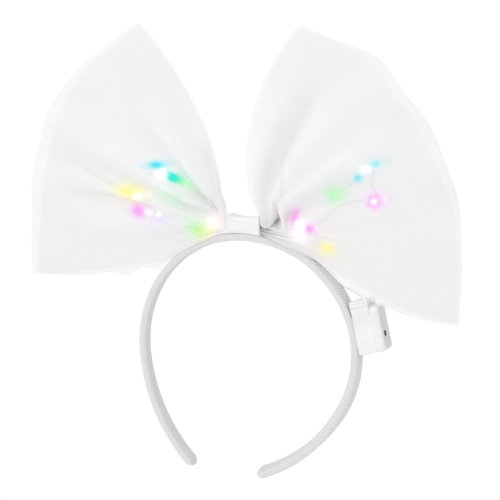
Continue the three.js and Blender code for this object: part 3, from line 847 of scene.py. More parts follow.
def panel_grid(layer):
    """A whole panel: the left wing from its edge in, the gathered neck, then the right wing out."""
    middle = np.linspace(-1, 1, NECK_COLUMNS + 2)[1:-1, None]
    neck = np.broadcast_arrays(
        NECK_OUT * middle,
        layer["neck"] - PLEAT_NECK * np.cos(2 * np.pi * PLEATS * row_share),
        NECK_LOW + (NECK_HIGH - NECK_LOW) * row_share,
    )
    left, right = wing_grid(LEFT_WING, layer), wing_grid(RIGHT_WING, layer)
    return np.concatenate([left[::-1], np.stack(neck, axis=-1), right])


print("points in a panel:", (2 * WING_COLUMNS + NECK_COLUMNS) * PANEL_ROWS)

# %% [markdown]
# ## Where the lights shine
#
# The lights are lit, so the net round each one takes its colour, and right at the light it
# is white. Real lamps inside the bow would do this too, but slowly and with noise. So each
# row is one spot of light on the net: where it is, how far it spreads along and across,
# which way it turns, its colour, how deep the colour is, and how much of it is white glare.

# %% Spots of light
LIGHT_SPOTS = table(
    "wing reach share long wide turn colour tint glare",
    (LEFT_WING, 0.38, 0.66, 2.8, 2.4, 0, "#ffffff", 0, 1.0),
    (LEFT_WING, 0.43, 0.68, 4.6, 2.6, -5, "#3fd9ea", 1.1, 0),
    (LEFT_WING, 0.47, 0.62, 4.0, 1.7, 0, "#a8e8f0", 0.5, 0),
    (LEFT_WING, 0.36, 0.69, 2.4, 1.8, -40, "#19dcdc", 0.9, 0),
    (LEFT_WING, 0.33, 0.69, 3.2, 2.2, -35, "#00e4d2", 1.4, 0),
    (LEFT_WING, 0.29, 0.71, 4.2, 2.4, -35, "#86f2a4", 0.55, 0),
    (LEFT_WING, 0.25, 0.75, 5.0, 2.8, -30, "#b8f5c0", 0.35, 0),
    (LEFT_WING, 0.29, 0.49, 9.0, 3.8, -15, "#b4f2ba", 0.42, 0),
    (LEFT_WING, 0.51, 0.40, 9.4, 5.0, -8, "#fdf07a", 0.76, 0),
    (LEFT_WING, 0.46, 0.39, 2.4, 1.9, 0, "#ffffff", 0, 0.9),
    (LEFT_WING, 0.46, 0.29, 5.2, 4.2, -25, "#f266f3", 0.75, 0),
    (LEFT_WING, 0.41, 0.29, 2.2, 1.4, -20, "#ffffff", 0, 0.8),
    (LEFT_WING, 0.35, 0.29, 1.2, 1.2, 0, "#ffffff", 0, 0.7),
    (LEFT_WING, 0.34, 0.25, 5.2, 3.8, 0, "#e0d2ff", 0.5, 0),
    (LEFT_WING, 0.17, 0.19, 5.5, 5.0, 0, "#a6f2b4", 0.38, 0),
    (LEFT_WING, 0.16, 0.11, 4.6, 4.4, 0, "#aef26a", 0.36, 0),
    (LEFT_WING, 0.12, 0.07, 4.2, 4.6, 0, "#f5f78c", 0.42, 0),
    (LEFT_WING, 0.04, 0.36, 7.0, 7.0, 0, "#fdf2f4", 0.75, 0.05),
    (RIGHT_WING, 0.23, 0.40, 4.6, 3.0, 70, "#ea70d6", 0.7, 0),
    (RIGHT_WING, 0.26, 0.29, 3.0, 2.8, 60, "#ffffff", 0, 0.9),
    (RIGHT_WING, 0.31, 0.26, 3.4, 3.0, 0, "#f06ff0", 0.78, 0),
    (RIGHT_WING, 0.26, 0.14, 5.0, 3.0, 0, "#fff2fa", 0.6, 0.2),
    (RIGHT_WING, 0.41, 0.12, 5.2, 4.2, 0, "#fdf07a", 0.72, 0),
    (RIGHT_WING, 0.47, 0.48, 6.0, 5.2, 0, "#92f29a", 0.66, 0),
    (RIGHT_WING, 0.67, 0.53, 2.6, 2.4, 0, "#ffffff", 0, 0.9),
    (RIGHT_WING, 0.62, 0.51, 3.2, 2.6, 30, "#3fdaea", 0.85, 0),
    (RIGHT_WING, 0.73, 0.53, 3.8, 2.8, 15, "#6fe2ee", 0.85, 0),
    (RIGHT_WING, 0.66, 0.40, 5.0, 4.8, 0, "#f47cf2", 0.8, 0),
    (RIGHT_WING, 0.66, 0.40, 1.6, 1.6, 0, "#ffffff", 0, 0.7),
)
print("spots of light:", len(LIGHT_SPOTS))

# %% Light on the net
GLARE = 0.6
SHINE = 0.12
LEAST = 1e-6


def light_on(points):
    """Tint and shine of the lights at points: for each spot a bell, longer one way than the other.

    Returns a colour with the depth of the tint as its fourth value, and the colour of the
    light that the net gives off itself.
    """
    spots = [wing_surface(spot["wing"], FRONT, spot["reach"], spot["share"]) for spot in LIGHT_SPOTS]
    colour = np.array([linear(spot["colour"])[:3] for spot in LIGHT_SPOTS])
    turn = np.radians(column(LIGHT_SPOTS, "turn"))
    away = points.reshape(-1, 1, 3) - np.array(spots)[None]
    lengthwise = away[..., 0] * np.cos(turn) + away[..., 2] * np.sin(turn)
    crosswise = away[..., 2] * np.cos(turn) - away[..., 0] * np.sin(turn)
    near = bell(lengthwise, 0, column(LIGHT_SPOTS, "long"))
    near = near * bell(crosswise, 0, column(LIGHT_SPOTS, "wide"))
    depth = near * column(LIGHT_SPOTS, "tint")
    total = depth.sum(axis=1, keepdims=True)
    shade = (depth @ colour) / np.maximum(total, LEAST)
    white = np.clip((near * column(LIGHT_SPOTS, "glare")).sum(axis=1, keepdims=True), 0, 1)
    amount = np.clip(total, 0, 1) * (1 - white)
    shine = SHINE * amount * shade + GLARE * white
    tinted = np.concatenate([shade, amount], axis=1)
    return tinted, np.concatenate([shine, np.ones_like(white)], axis=1)


cyan = LIGHT_SPOTS[1]
cyan_place = wing_surface(cyan["wing"], FRONT, cyan["reach"], cyan["share"])
print("tint in the middle of a cyan spot:", light_on(cyan_place)[0].round(2))

# %% [markdown]
# ## Net
#
# Tulle is a net of fine nylon threads with six-sided holes about a millimetre across. Cut as
# real holes it would need millions of faces. Instead three waves at 60 degrees to each other
# add up to a peak in the middle of every hole, and there the material lets more light
# through. Where the cloth is gathered, several layers lie together and less comes through:
# the open share is raised to the number of layers. Threads scatter light to both sides.

# %% Holes of the net
HOLE_PITCH = 0.95
THREAD_COVER = 0.62
HOLE_COVER = 0.55
# A veil: paler over itself, see-through over the ground, with a faint sheen on its threads.
tulle = new_material(
    "nylon_tulle_net",
    {
        "Sheen Weight": 0.15,
        "Sheen Roughness": 0.4,
        "Specular IOR Level": 0.2,
        "Emission Strength": 1.8,
    },
)
net_flat = add_node(tulle, "UVMap", uv_map="flat")
hole_turns = np.radians([0, 60, 120])
first, second, third = (
    wave(tulle, net_flat, (np.cos(turn), np.sin(turn)), HOLE_PITCH) for turn in hole_turns
)
net_pair = add_node(tulle, "Math", {0: first, 1: second}, operation="ADD")
net_sum = add_node(tulle, "Math", {0: net_pair, 1: third}, operation="ADD")
net_range = {"Value": net_sum, "From Min": -0.5, "From Max": 1.2}
net_range |= {"To Min": 1 - THREAD_COVER, "To Max": 1 - HOLE_COVER}
open_share = add_node(tulle, "MapRange", net_range)
layer_count = add_node(tulle, "Attribute", output="Fac", attribute_name="layers")
see_through = add_node(tulle, "Math", {0: open_share, 1: layer_count}, operation="POWER")
cover = add_node(tulle, "Math", {0: 1.0, 1: see_through}, operation="SUBTRACT")
print("net hole", HOLE_PITCH, "mm")

# %% Threads of the net
THROUGH_SHARE = 0.45
WRINKLE_SIZE = 11.0
WRINKLE_DEPTH = 1.2
lit_share = add_node(tulle, "Attribute", output="Fac", attribute_name="open_to_light")
# Painted shade: the nylon's colour runs from dark grey where little light gets in to white where it
# lies open.
nylon_shade_ends = {"Factor": lit_share, "A": linear("#8f918f"), "B": linear("#fbfbfb")}
shaded_nylon_colour = add_node(tulle, "Mix", nylon_shade_ends, "Result", data_type="RGBA")
# Painted light: near each light the net's colour is mixed towards that light's colour.
light_tint_colour = add_node(tulle, "Attribute", output="Color", attribute_name="tint")
light_tint_depth = add_node(tulle, "Attribute", output="Alpha", attribute_name="tint")
light_tint_ends = {"Factor": light_tint_depth, "A": shaded_nylon_colour, "B": light_tint_colour}
lit_shaded_tulle_colour = add_node(tulle, "Mix", light_tint_ends, "Result", data_type="RGBA")
# Painted light: the net gives off the lights' glow and glare itself, from the shine attribute.
shine_colour = add_node(tulle, "Attribute", output="Color", attribute_name="shine")
wrinkle_settings = {"Vector": net_flat, "Scale": 1 / WRINKLE_SIZE, "Detail": 4.0, "Roughness": 0.6}
wrinkles = add_node(tulle, "TexNoise", wrinkle_settings)
wrinkle_relief = {"Height": wrinkles, "Distance": WRINKLE_DEPTH * MM, "Strength": 0.2}
tulle_normal = add_node(tulle, "Bump", wrinkle_relief)
tulle_rough = add_node(tulle, "MapRange", {"Value": open_share, "To Min": 0.8, "To Max": 0.6})
feed(tulle, {"Base Color": lit_shaded_tulle_colour, "Roughness": tulle_rough})
feed(tulle, {"Normal": tulle_normal, "Emission Color": shine_colour})
front_light = tulle.node_tree.nodes[PRINCIPLED].outputs[0]
through = add_node(tulle, "BsdfTranslucent", {"Color": lit_shaded_tulle_colour, "Normal": tulle_normal})
threads = add_node(tulle, "MixShader", {0: THROUGH_SHARE, 1: front_light, 2: through})
holes = add_node(tulle, "BsdfTransparent")
net = add_node(tulle, "MixShader", {0: cover, 1: holes, 2: threads})
tulle.node_tree.links.new(net, tulle.node_tree.nodes["Material Output"].inputs["Surface"])
print("nodes in the net:", len(tulle.node_tree.nodes))

# %% [markdown]
# ## Shade in the hollows
#
# In thick cloth the hollows are dark because light can't get in, but a see-through net lets
# a renderer's light straight through its folds. So each place is told how open it lies: by
# its depth behind its surroundings, and less in creases, between the fine gathers, and in
# the pocket between the two rolls.

# %% Shade in the hollows
HOLLOW_ROWS = 9
HOLLOW_DEPTH = 24.0
RIDGE_LIGHT = 0.95
GATHER_LINES = 15
GATHER_REACH = 0.2
GATHER_SHADE = 0.1
STRIP_SHADE = 0.45
STRIP_TOP = 0.52
STRIP_SOFT = 0.1
POCKET = {"reach": 0.012, "share": 0.755, "long": 0.036, "wide": 0.05, "shade": 0.95}


def hollow_light(points):
    """How open each place is: one on a ridge, less in a hollow, by its depth behind the rest.

    The rest is the mean depth over some rows to both sides.
    """
    deep = points[..., 1]
    rows = 2 * HOLLOW_ROWS + 1
    ends = ((0, 0), (HOLLOW_ROWS + 1, HOLLOW_ROWS))
    total = np.cumsum(np.pad(deep, ends, mode="reflect", reflect_type="odd"), axis=1)
    mean = (total[:, rows:] - total[:, :-rows]) / rows
    return RIDGE_LIGHT - (deep - mean) / HOLLOW_DEPTH


def crease_light(wing, layer):
    """Light left in creases, between the fine gathers, and in the pocket between the two rolls.

    A crease takes light by its depth, the gathers by a cubed wave that dies away from the
    knot, and the pocket by a bell over reach and share.
    """
    reach, share = np.broadcast_arrays(column_reach, row_share)
    lines = (0.5 + 0.5 * np.cos(2 * np.pi * GATHER_LINES * share)) ** 3
    rolled = layer is FRONT and wing is RIGHT_WING
    deepest = STRIP_SHADE * smooth((STRIP_TOP - share) / STRIP_SOFT) if rolled else GATHER_SHADE
    light = 1 - deepest * bell(reach, 0, GATHER_REACH) * lines
    if layer is FRONT:
        light = light * (1 - creased(wing, reach, share, "shade"))
    if rolled:
        pocket = bell(reach, POCKET["reach"], POCKET["long"])
        light = light * (1 - POCKET["shade"] * pocket * bell(share, POCKET["share"], POCKET["wide"]))
    return light


def open_to_light(points, layer):
    """Light that reaches each place of a panel, from none to all of it."""
    light = hollow_light(points)
    light[:WING_COLUMNS] *= crease_light(LEFT_WING, layer)[::-1]
    light[-WING_COLUMNS:] *= crease_light(RIGHT_WING, layer)
    return np.clip(light, 0, 1)


print("least light in a crease:", crease_light(RIGHT_WING, FRONT).min().round(2))

# %% [markdown]
# ## The two panels
#
# Each panel is a rectangle of net before it is gathered. Its flat coordinates could be
# unwrapped by Blender, but the grid knows them: length along the middle row, and the cut
# width across. Where a column is narrower than the cut, the net lies in several layers.

# %% Panels
CUT_WIDTH = 180.0
MOST_LAYERS = 4.0
GLOW_LAYERS = 2.5


def set_attribute(mesh, name, kind, field, value):
    """Values at a mesh's points that its material can read."""
    attribute = mesh.attributes.new(name, kind, "POINT")
    attribute.data.foreach_set(field, value.astype(np.float32).ravel())


def tulle_panel(name, layer, node):
    """One panel with its net: its flat coordinates, layers and shade, and the lights on it."""
    points = panel_grid(layer)
    along = distance_along(points[:, PANEL_ROWS // 2])
    across = CUT_WIDTH * (row_share[0] - 0.5)
    mesh = grid_mesh(name, points, flat_grid(along - along.mean(), across))
    width = np.linalg.norm(np.diff(points, axis=1), axis=-1).sum(axis=1)
    tinted, shine = light_on(points)
    tinted[:, 3] *= layer["tinted"]
    layers = np.repeat(np.clip(CUT_WIDTH / width, 1, MOST_LAYERS), PANEL_ROWS)
    set_attribute(mesh, "layers", "FLOAT", "value", layers + GLOW_LAYERS * tinted[:, 3])
    set_attribute(mesh, "open_to_light", "FLOAT", "value", open_to_light(points, layer))
    set_attribute(mesh, "tint", "FLOAT_COLOR", "color", tinted)
    set_attribute(mesh, "shine", "FLOAT_COLOR", "color", shine)
    piece = add_piece(name, mesh, tulle, [node])


tulle_panel("tulle_net_front", FRONT, "tulle_front")
tulle_panel("tulle_net_back", BACK, "tulle_back")

# %% [markdown]
# ## The knot
#
# A short length of satin ribbon goes once round the gathered middle and is sewn shut behind.
# A bevelled box would look like a bead; a ribbon is a sleeve with a squared oval section,
# drawn in at its waist, with soft creases along it where the gathers press from inside.

# %% Knot surface
KNOT_LENGTH = 20.4
KNOT_DEPTH = 13.0
KNOT_HEIGHT = 11.6
KNOT_RIGHT = 2.7
KNOT_PINCH = 1.6
KNOT_SAG = 0.0062
KNOT_FORWARD = 0.5
KNOT_SQUARE = 8
KNOT_WALL = 1.9
KNOT_LIP = 0.35
KNOT_MOUTH = 1.5
KNOT_OVER_BAND = 0.05
KNOT_MIDDLE = 2 * SEAT + KNOT_OVER_BAND + KNOT_HEIGHT / 2
KNOT_CREASES = table("depth waves drift fade", (0.1, 7, 0.8, 0.5), (0.06, 11, -1.7, 0))
KNOT_SIDES = 160
KNOT_ROWS = 40
ROLL_ROWS = 7


def knot_ring(station, turn, inset):
    """A squared oval: the circle's point over the eighth root of cos to the 8 plus sin to the 8."""
    pinch = KNOT_PINCH * (1 - station**2)
    square = (np.cos(turn) ** KNOT_SQUARE + np.sin(turn) ** KNOT_SQUARE) ** (-1 / KNOT_SQUARE)
    crease = 0.0
    for row in KNOT_CREASES:
        lines = np.cos(row["waves"] * turn + row["drift"] * station)
        crease = crease + row["depth"] * lines * (1 - row["fade"] * station**2)
    deep = (KNOT_DEPTH / 2 - pinch - KNOT_MOUTH * inset + crease) * np.cos(turn) * square
    along = KNOT_RIGHT + station * KNOT_LENGTH / 2
    lift = np.where(np.sin(turn) > 0, pinch, -KNOT_SAG * along**2)
    high = (KNOT_HEIGHT / 2 - lift - inset + crease) * np.sin(turn) * square + KNOT_MIDDLE
    return np.stack(np.broadcast_arrays(along, deep - KNOT_FORWARD, high), axis=-1)


def knot_mesh():
    """The sleeve's outside and inside as one closed surface, with rolled edges at both ends."""
    turn = np.linspace(0, 2 * np.pi, KNOT_SIDES, endpoint=False)[None, :]
    stations = np.linspace(-1, 1, KNOT_ROWS)[:, None]
    roll = np.linspace(0, np.pi, ROLL_ROWS)[1:-1, None]
    half = KNOT_WALL / 2
    outside = knot_ring(stations, turn, 0.0)
    inside = knot_ring(stations[::-1], turn, KNOT_WALL)
    right = knot_ring(np.ones_like(roll), turn, half - half * np.cos(roll))
    left = knot_ring(-np.ones_like(roll), turn, half + half * np.cos(roll))
    right[..., 0] += KNOT_LIP * np.sin(roll)
    left[..., 0] -= KNOT_LIP * np.sin(roll)
    points = np.concatenate([outside, right, inside, left])
    around = np.linspace(0, np.pi * (KNOT_DEPTH + KNOT_HEIGHT) / 2, KNOT_SIDES + 1)
    along = np.linspace(0, 2 * KNOT_LENGTH, len(points) + 1)
    return grid_mesh("satin_knot", points, flat_grid(along, around), closed=(True, True))


print("knot", KNOT_LENGTH, "mm long, its middle at", round(KNOT_MIDDLE, 2), "mm")

# %% [markdown]
# ## Satin
#
# Polyester satin is woven so that long threads float on top, which makes it glossy along
# them. A plain white gloss would look like plastic: streaks drawn out along the ribbon and a
# fine weft break the gloss up.

# %% Woven satin
# A real weft is a tenth of a millimetre; this one is as coarse as it needs to be to show.
WEFT_PITCH = 0.45
WEFT_DEPTH = 0.06
STREAK_ALONG = 20.0
STREAK_ACROSS = 2.0
# A soft band of gloss along the ribbon, broken by streaks.
satin = new_material(
    "polyester_satin_ribbon",
    {"Sheen Weight": 0.2, "Sheen Roughness": 0.3, "Specular IOR Level": 0.45, "Anisotropic": 0.5},
)
satin_flat = add_node(satin, "UVMap", uv_map="flat")
weft = wave(satin, satin_flat, (0.0, 1.0), WEFT_PITCH)
streak_scale = {0: satin_flat, 1: (1 / STREAK_ALONG, 1 / STREAK_ACROSS, 0.0)}
streak_place = add_node(satin, "VectorMath", streak_scale, operation="MULTIPLY")
streaks = add_node(satin, "TexNoise", {"Vector": streak_place, "Scale": 1.0, "Detail": 3.0})
streak_range = {"Value": streaks, "From Min": 0.35, "From Max": 0.65}
streak_share = add_node(satin, "MapRange", streak_range)
woven = {0: weft, 1: WEFT_DEPTH, 2: streak_share}
satin_share = add_node(satin, "Math", woven, operation="MULTIPLY_ADD")
lead_finish(satin, satin_share, ("#e3e3e3", "#ececec"), (0.5, 0.38), depth=0.05, strength=0.4)
add_piece("satin_knot", knot_mesh(), satin, ["knot_wrap"])

# %% [markdown]
# ## Lights on their wire
#
# The lights are tiny diodes soldered between two lacquered wires and dipped in clear resin,
# one drop each. The pair of wires wanders between the panels from drop to drop. A route drawn
# by hand could poke through the net, so every stop is a reach and a share half way between
# the panels, with more stops in long legs.

# %% Route of the wire
LEFT_LIGHTS = table(
    "name reach share colour lit",
    ("amber", 0.08, 0.30, "#ffe9b0", 1.4),
    ("lime", 0.19, 0.14, "#8cf25a", 0.8),
    ("pink", 0.47, 0.29, "#ff7de9", 1.5),
    ("yellow", 0.52, 0.39, "#ffe66a", 1.0),
    ("cyan", 0.40, 0.65, "#5fe3f5", 3.0),
    ("green", 0.28, 0.70, "#7df58a", 0.8),
)
RIGHT_LIGHTS = table(
    "name reach share colour lit",
    ("magenta", 0.23, 0.32, "#ff5de0", 3.0),
    ("yellow", 0.39, 0.14, "#ffe66a", 0.8),
    ("rose", 0.32, 0.26, "#ff7de9", 1.0),
    (None, 0.44, 0.40),
    (None, 0.53, 0.42),
    ("pink", 0.63, 0.40, "#ff7de9", 3.0),
    ("cyan", 0.66, 0.53, "#5fe3f5", 3.0),
    ("green", 0.46, 0.48, "#7df58a", 0.8),
)
WIRE_LEG = 12.0


def between_panels(wing, reach, share):
    """Half way from the front panel to the back one."""
    return (wing_surface(wing, FRONT, reach, share) + wing_surface(wing, BACK, reach, share)) / 2


def wire_stop(wing, row):
    """A stop on the wire: its row, with its wing's side and its place between the panels."""
    side = "left" if wing["side"] < 0 else "right"
    return {**row, "side": side, "place": between_panels(wing, row["reach"], row["share"])}


def wire_stops(wing, rows):
    """Stops along the wire in one wing, from the knot, with more of them in long legs."""
    stops = [wire_stop(wing, {"name": None, "reach": 0.0, "share": 0.5})]
    for row in rows:
        last, stop = stops[-1], wire_stop(wing, row)
        legs = 1 + int(np.linalg.norm(stop["place"] - last["place"]) // WIRE_LEG)
        for part in np.arange(1, legs) / legs:
            reach = last["reach"] + part * (row["reach"] - last["reach"])
            share = last["share"] + part * (row["share"] - last["share"])
            stops.append(wire_stop(wing, {"name": None, "reach": reach, "share": share}))
        stops.append(stop)
    return stops


stops = wire_stops(LEFT_WING, LEFT_LIGHTS)[::-1] + wire_stops(RIGHT_WING, RIGHT_LIGHTS)
places = np.array([stop["place"] for stop in stops])
first_heading, last_heading = places[1:2] - places[:1], places[-1:] - places[-2:-1]
headings = np.concatenate([first_heading, places[2:] - places[:-2], last_heading])
headings /= np.linalg.norm(headings, axis=1, keepdims=True)
print("stops on the wire:", len(stops))

# %% [markdown]
# ## Paths and cords
#
# A curve object with a bevel could carry a wire. We need its path as points, to twist two
# strands round it, so a smooth path and a round section along it are worked out here.

# %% A cord along a smooth path


def curve_through(points, per_span):
    """A smooth path through points: each span is the cubic whose slopes match its neighbours."""
    ends = np.concatenate([2 * points[:1] - points[1:2], points, 2 * points[-1:] - points[-2:-1]])
    before, start, stop, after = ends[:-3], ends[1:-2], ends[2:-1], ends[3:]
    t = np.linspace(0, 1, per_span, endpoint=False)[None, :, None]
    path = 0.5 * (
        2 * start[:, None]
        + (stop - before)[:, None] * t
        + (2 * before - 5 * start + 4 * stop - after)[:, None] * t**2
        + (3 * start - before - 3 * stop + after)[:, None] * t**3
    )
    return np.concatenate([path.reshape(-1, 3), points[-1:]])


def square_axes(path):
    """Two directions square to a path at each point, from its slope and the depth axis."""
    along = np.gradient(path, axis=0)
    along /= np.linalg.norm(along, axis=1, keepdims=True)
    side = np.cross(along, [0.0, 1.0, 0.0])
    side /= np.linalg.norm(side, axis=1, keepdims=True)
    return side, np.cross(side, along)


def cord_mesh(name, path, radius, sides):
    """A round section carried along a path, with both ends drawn in to a point.

    Its flat coordinates are the length along it and the distance round it.
    """
    side, up = square_axes(path)
    turn = np.linspace(0, 2 * np.pi, sides, endpoint=False)[None, :, None]
    ring = np.cos(turn) * side[:, None] + np.sin(turn) * up[:, None]
    first, last = path[:1, None] + 0 * ring[:1], path[-1:, None] + 0 * ring[-1:]
    points = np.concatenate([first, path[:, None] + radius * ring, last])
    along = distance_along(path)
    along = np.concatenate([along[:1], along, along[-1:]])
    around = np.linspace(0, 2 * np.pi * radius, sides + 1)
    return grid_mesh(name, points, flat_grid(along, around), closed=(False, True))


print("3 points with 4 steps a span give a path of", len(curve_through(np.eye(3), 4)), "points")

# %% [markdown]
# ## The pair of wires
#
# Two strands twisted round each other feed the lights. Two separate tubes would do, but it is
# one circuit: here one strand runs out along the path and back again on its other side.

# %% The pair of wires
STRAND_RADIUS = 0.16
STRAND_APART = 0.17
STRAND_SIDES = 6
TWIST_PITCH = 5.0
WIRE_SPAN_STEPS = 8
LIGHT_LENGTH = 3.8
LIGHT_DIAMETER = 3.2
STRAIGHT_AT_LIGHT = 1.1 * LIGHT_LENGTH * np.array([-1, -0.5, 0.5, 1])
wire_points = []
for stop, place, heading in zip(stops, places, headings):
    steps = STRAIGHT_AT_LIGHT if stop["name"] else np.zeros(1)
    wire_points.append(place + steps[:, None] * heading)
wire_path = curve_through(np.concatenate(wire_points), WIRE_SPAN_STEPS)


def strand_path(path, phase):
    """One of two twisted strands: a circle round the path that turns once for each pitch."""
    turn = 2 * np.pi * distance_along(path)[:, None] / TWIST_PITCH + phase
    side, up = square_axes(path)
    return path + STRAND_APART * (np.cos(turn) * side + np.sin(turn) * up)


wire_loop = np.concatenate([strand_path(wire_path, 0.0), strand_path(wire_path, np.pi)[::-1]])
wire_mesh = cord_mesh("light_strands", wire_loop, STRAND_RADIUS, STRAND_SIDES)
print("wire", round(distance_along(wire_path)[-1]), "mm long")

# %% [markdown]
# ## Lacquered wire
#
# Drawn copper under grey lacquer, with fine marks from drawing. Bare copper would be too red
# and a plain grey paint too dull, so it is half a metal and half a varnish.

# %% Lacquer
# Real marks are hundredths of a millimetre; these are as coarse as they need to be to show.
DRAWN_MARKS = 1.1


def grain(material, size, detail):
    """Grain in the solid: noise with patches of a size in millimetres, from 0 to 1."""
    place = add_node(material, "TexCoord", output="Object")
    settings = {"Vector": place, "Scale": 1 / (size * MM), "Detail": detail}
    noise = add_node(material, "TexNoise", settings)
    return add_node(material, "MapRange", {"Value": noise, "From Min": 0.3, "From Max": 0.7})


# A thin grey line with short glints.
wire = new_material("lacquered_copper_wire", {"Metallic": 0.5, "Specular IOR Level": 0.5})
drawn = grain(wire, DRAWN_MARKS, 2.0)
lead_finish(wire, drawn, ("#b4b2ae", "#cfcdc9"), (0.3, 0.45), depth=0.02, strength=0.4)
add_piece("light_strands", wire_mesh, wire, ["light_wire"])

# %% [markdown]
# ## Resin drops
#
# Each diode is dipped in clear resin that runs into a drop. A sphere would do from afar, but
# a drop is longer along its wire. It gives off light itself: white in its middle, over the
# diode, and coloured towards its ends.

# %% Shape of a drop
DROP_ROWS = 18
DROP_SIDES = 24
DROP_FULLNESS = 2.6


def drop_mesh(name, place, heading):
    """A drop turned about the wire: its radius is the root of one less a power of the station."""
    station = np.linspace(-1, 1, DROP_ROWS)[:, None]
    radius = LIGHT_DIAMETER / 2 * np.sqrt(1 - np.abs(station) ** DROP_FULLNESS)
    turn = np.linspace(0, 2 * np.pi, DROP_SIDES, endpoint=False)[None, :, None]
    side = np.cross(heading, [0.0, 1.0, 0.0])
    side = side / np.linalg.norm(side)
    up = np.cross(side, heading)
    along = station[:, 0] * LIGHT_LENGTH / 2
    points = (
        place
        + station[..., None] * LIGHT_LENGTH / 2 * heading
        + radius[..., None] * (np.cos(turn) * side + np.sin(turn) * up)
    )
    around = np.linspace(0, np.pi * LIGHT_DIAMETER, DROP_SIDES + 1)
    return grid_mesh(name, points, flat_grid(along, around), closed=(False, True))


print("a drop is", LIGHT_LENGTH, "by", LIGHT_DIAMETER, "mm")

# %% Lit resin
DIODE_HALF = 0.5
# Flow marks, about half as long as a drop.
RESIN_FLOW = 1.5


def lit_resin(name, colour, strength):
    """Resin whose glow goes from white at half the diode's length to a colour at the drop's ends."""
    # Glossy and bright, with a white heart.
    resin = new_material(name, {"Emission Strength": strength})
    flow = grain(resin, RESIN_FLOW, 1.0)
    lead_finish(resin, flow, (colour, "#ffffff"), (0.1, 0.2), depth=0.05, strength=0.3)
    drop_flat = add_node(resin, "UVMap", uv_map="flat")
    along_drop = add_node(resin, "SeparateXYZ", {0: drop_flat}, "X")
    from_diode = add_node(resin, "Math", {0: along_drop}, operation="ABSOLUTE")
    end_range = {"Value": from_diode, "From Min": DIODE_HALF, "From Max": LIGHT_LENGTH / 2}
    to_ends = add_node(resin, "MapRange", end_range)
    glow_ends = {"Factor": to_ends, "A": linear("#ffffff"), "B": linear(colour)}
    feed(resin, {"Emission Color": add_node(resin, "Mix", glow_ends, "Result", data_type="RGBA")})
    return resin


for stop, place, heading in zip(stops, places, headings):
    if stop["name"]:
        label = f"{stop['side']}_{stop['name']}"
        resin = lit_resin(f"lit_resin_{label}", stop["colour"], stop["lit"])
        drop = drop_mesh(f"resin_drop_{label}", place, heading)
        add_piece(f"resin_drop_{label}", drop, resin, [f"light_{label}"])

# %% [markdown]
# ## The battery box
#
# A small moulded box of white ABS in two halves, with a slide switch in the outer half. Two
# bevelled cubes would be quick, but the halves have different radii at each corner. Each is
# a rounded section carried up the arm, closing softly at both ends. Three fine lines go round
# the inner half near its top, where the lid for the cells begins.

# %% Box axes
BOX_ALONG = 96.3
BOX_SET_BACK = 3.75
BOX_OFF_BAND = 0.6
box_place, box_outs, _ = walk(RIGHT_ARM, 1, np.array([BOX_ALONG]))
box_out = box_outs[0]
box_across = np.array([0.0, 1.0, 0.0])
box_up = np.cross(box_out, box_across)
box_origin = box_place[0] + (SEAT + BOX_OFF_BAND) * box_out + BOX_SET_BACK * box_across


def in_box(across, up, out):
    """Places in the part from distances across, up the arm and out from it."""
    across, up, out = (part[..., None] for part in np.broadcast_arrays(across, up, out))
    return box_origin + across * box_across + up * box_up + out * box_out


print("box origin:", box_origin.round(1), "up the arm:", box_up.round(3))

# %% Shells of the box
BOX_LENGTH = 27.6
BOX_DEPTH = 16.5
END_ROWS = 8
CLOSED = 30.0
GROOVE_PROFILE = [(-0.22, 0.0), (-0.12, 1.0), (0.12, 1.0), (0.22, 0.0)]


def rounded_rows(bottom, top, radius, lines=()):
    """Rows of a shell from bottom to top, both ends rounded and lines cut in below the top.

    A row is a height and how far the section draws in there: on an end, the radius times one
    less the sine and one less the cosine of a turn.
    """
    turn = np.linspace(0, np.pi / 2, END_ROWS)
    lower = [(bottom + radius * (1 - np.sin(t)), radius * (1 - np.cos(t))) for t in turn[::-1]]
    upper = [(top - radius * (1 - np.sin(t)), radius * (1 - np.cos(t))) for t in turn]
    grooves = [
        (top - line["below"] + step, line["deep"] * depth)
        for line in lines
        for step, depth in GROOVE_PROFILE
    ]
    return [(bottom, CLOSED), *lower, *sorted(grooves), *upper, (top, CLOSED)]


def shell_mesh(name, low, high, radii, rows, follows):
    """A closed shell: a rectangle with its own radius at each corner, carried up through rows.

    Each row gives a height and how far the section draws in there; the ends close to a line.
    The inner side falls back by the height squared, as the band does.
    """
    middle, thick = (low + high) / 2, high - low
    ring = rounded_rectangle(BOX_DEPTH, thick, radii, CORNER_STEPS)
    height, inset = np.array(rows).T[..., None]
    shrink_x = 1 - np.clip(inset / (BOX_DEPTH / 2), 0, 1)
    shrink_y = 1 - np.clip(inset / (thick / 2), 0, 1)
    inner = np.clip(-ring[None, :, 1] / (thick / 2), 0, 1)
    out = middle + ring[None, :, 1] * shrink_y - follows * inner * height**2
    points = in_box(ring[None, :, 0] * shrink_x, height, out)
    around = distance_along(np.concatenate([ring, ring[:1]]))
    return grid_mesh(name, points, flat_grid(height[:, 0], around), closed=(False, True))


print("rows of a plain shell:", len(rounded_rows(0, BOX_LENGTH, 1)))

# %% [markdown]
# ## Moulded plastics
#
# ABS comes out of a spark-eroded mould with a fine even grain and a half gloss. The flat outer
# face is made greyer, a painted shade. The switch is black nylon, a shade duller. Plain colours
# would look like paper; a grain that leads gloss and bump makes them plastic.

# %% White ABS and black nylon
# Real grain is a twentieth of a millimetre; this is as coarse as it needs to be to show.
ABS_GRAIN = 3.0
NYLON_GRAIN = 0.7
COVER_FACE = 15.5
FACE_SOFT = 0.5
FACE_SKIN = 0.03
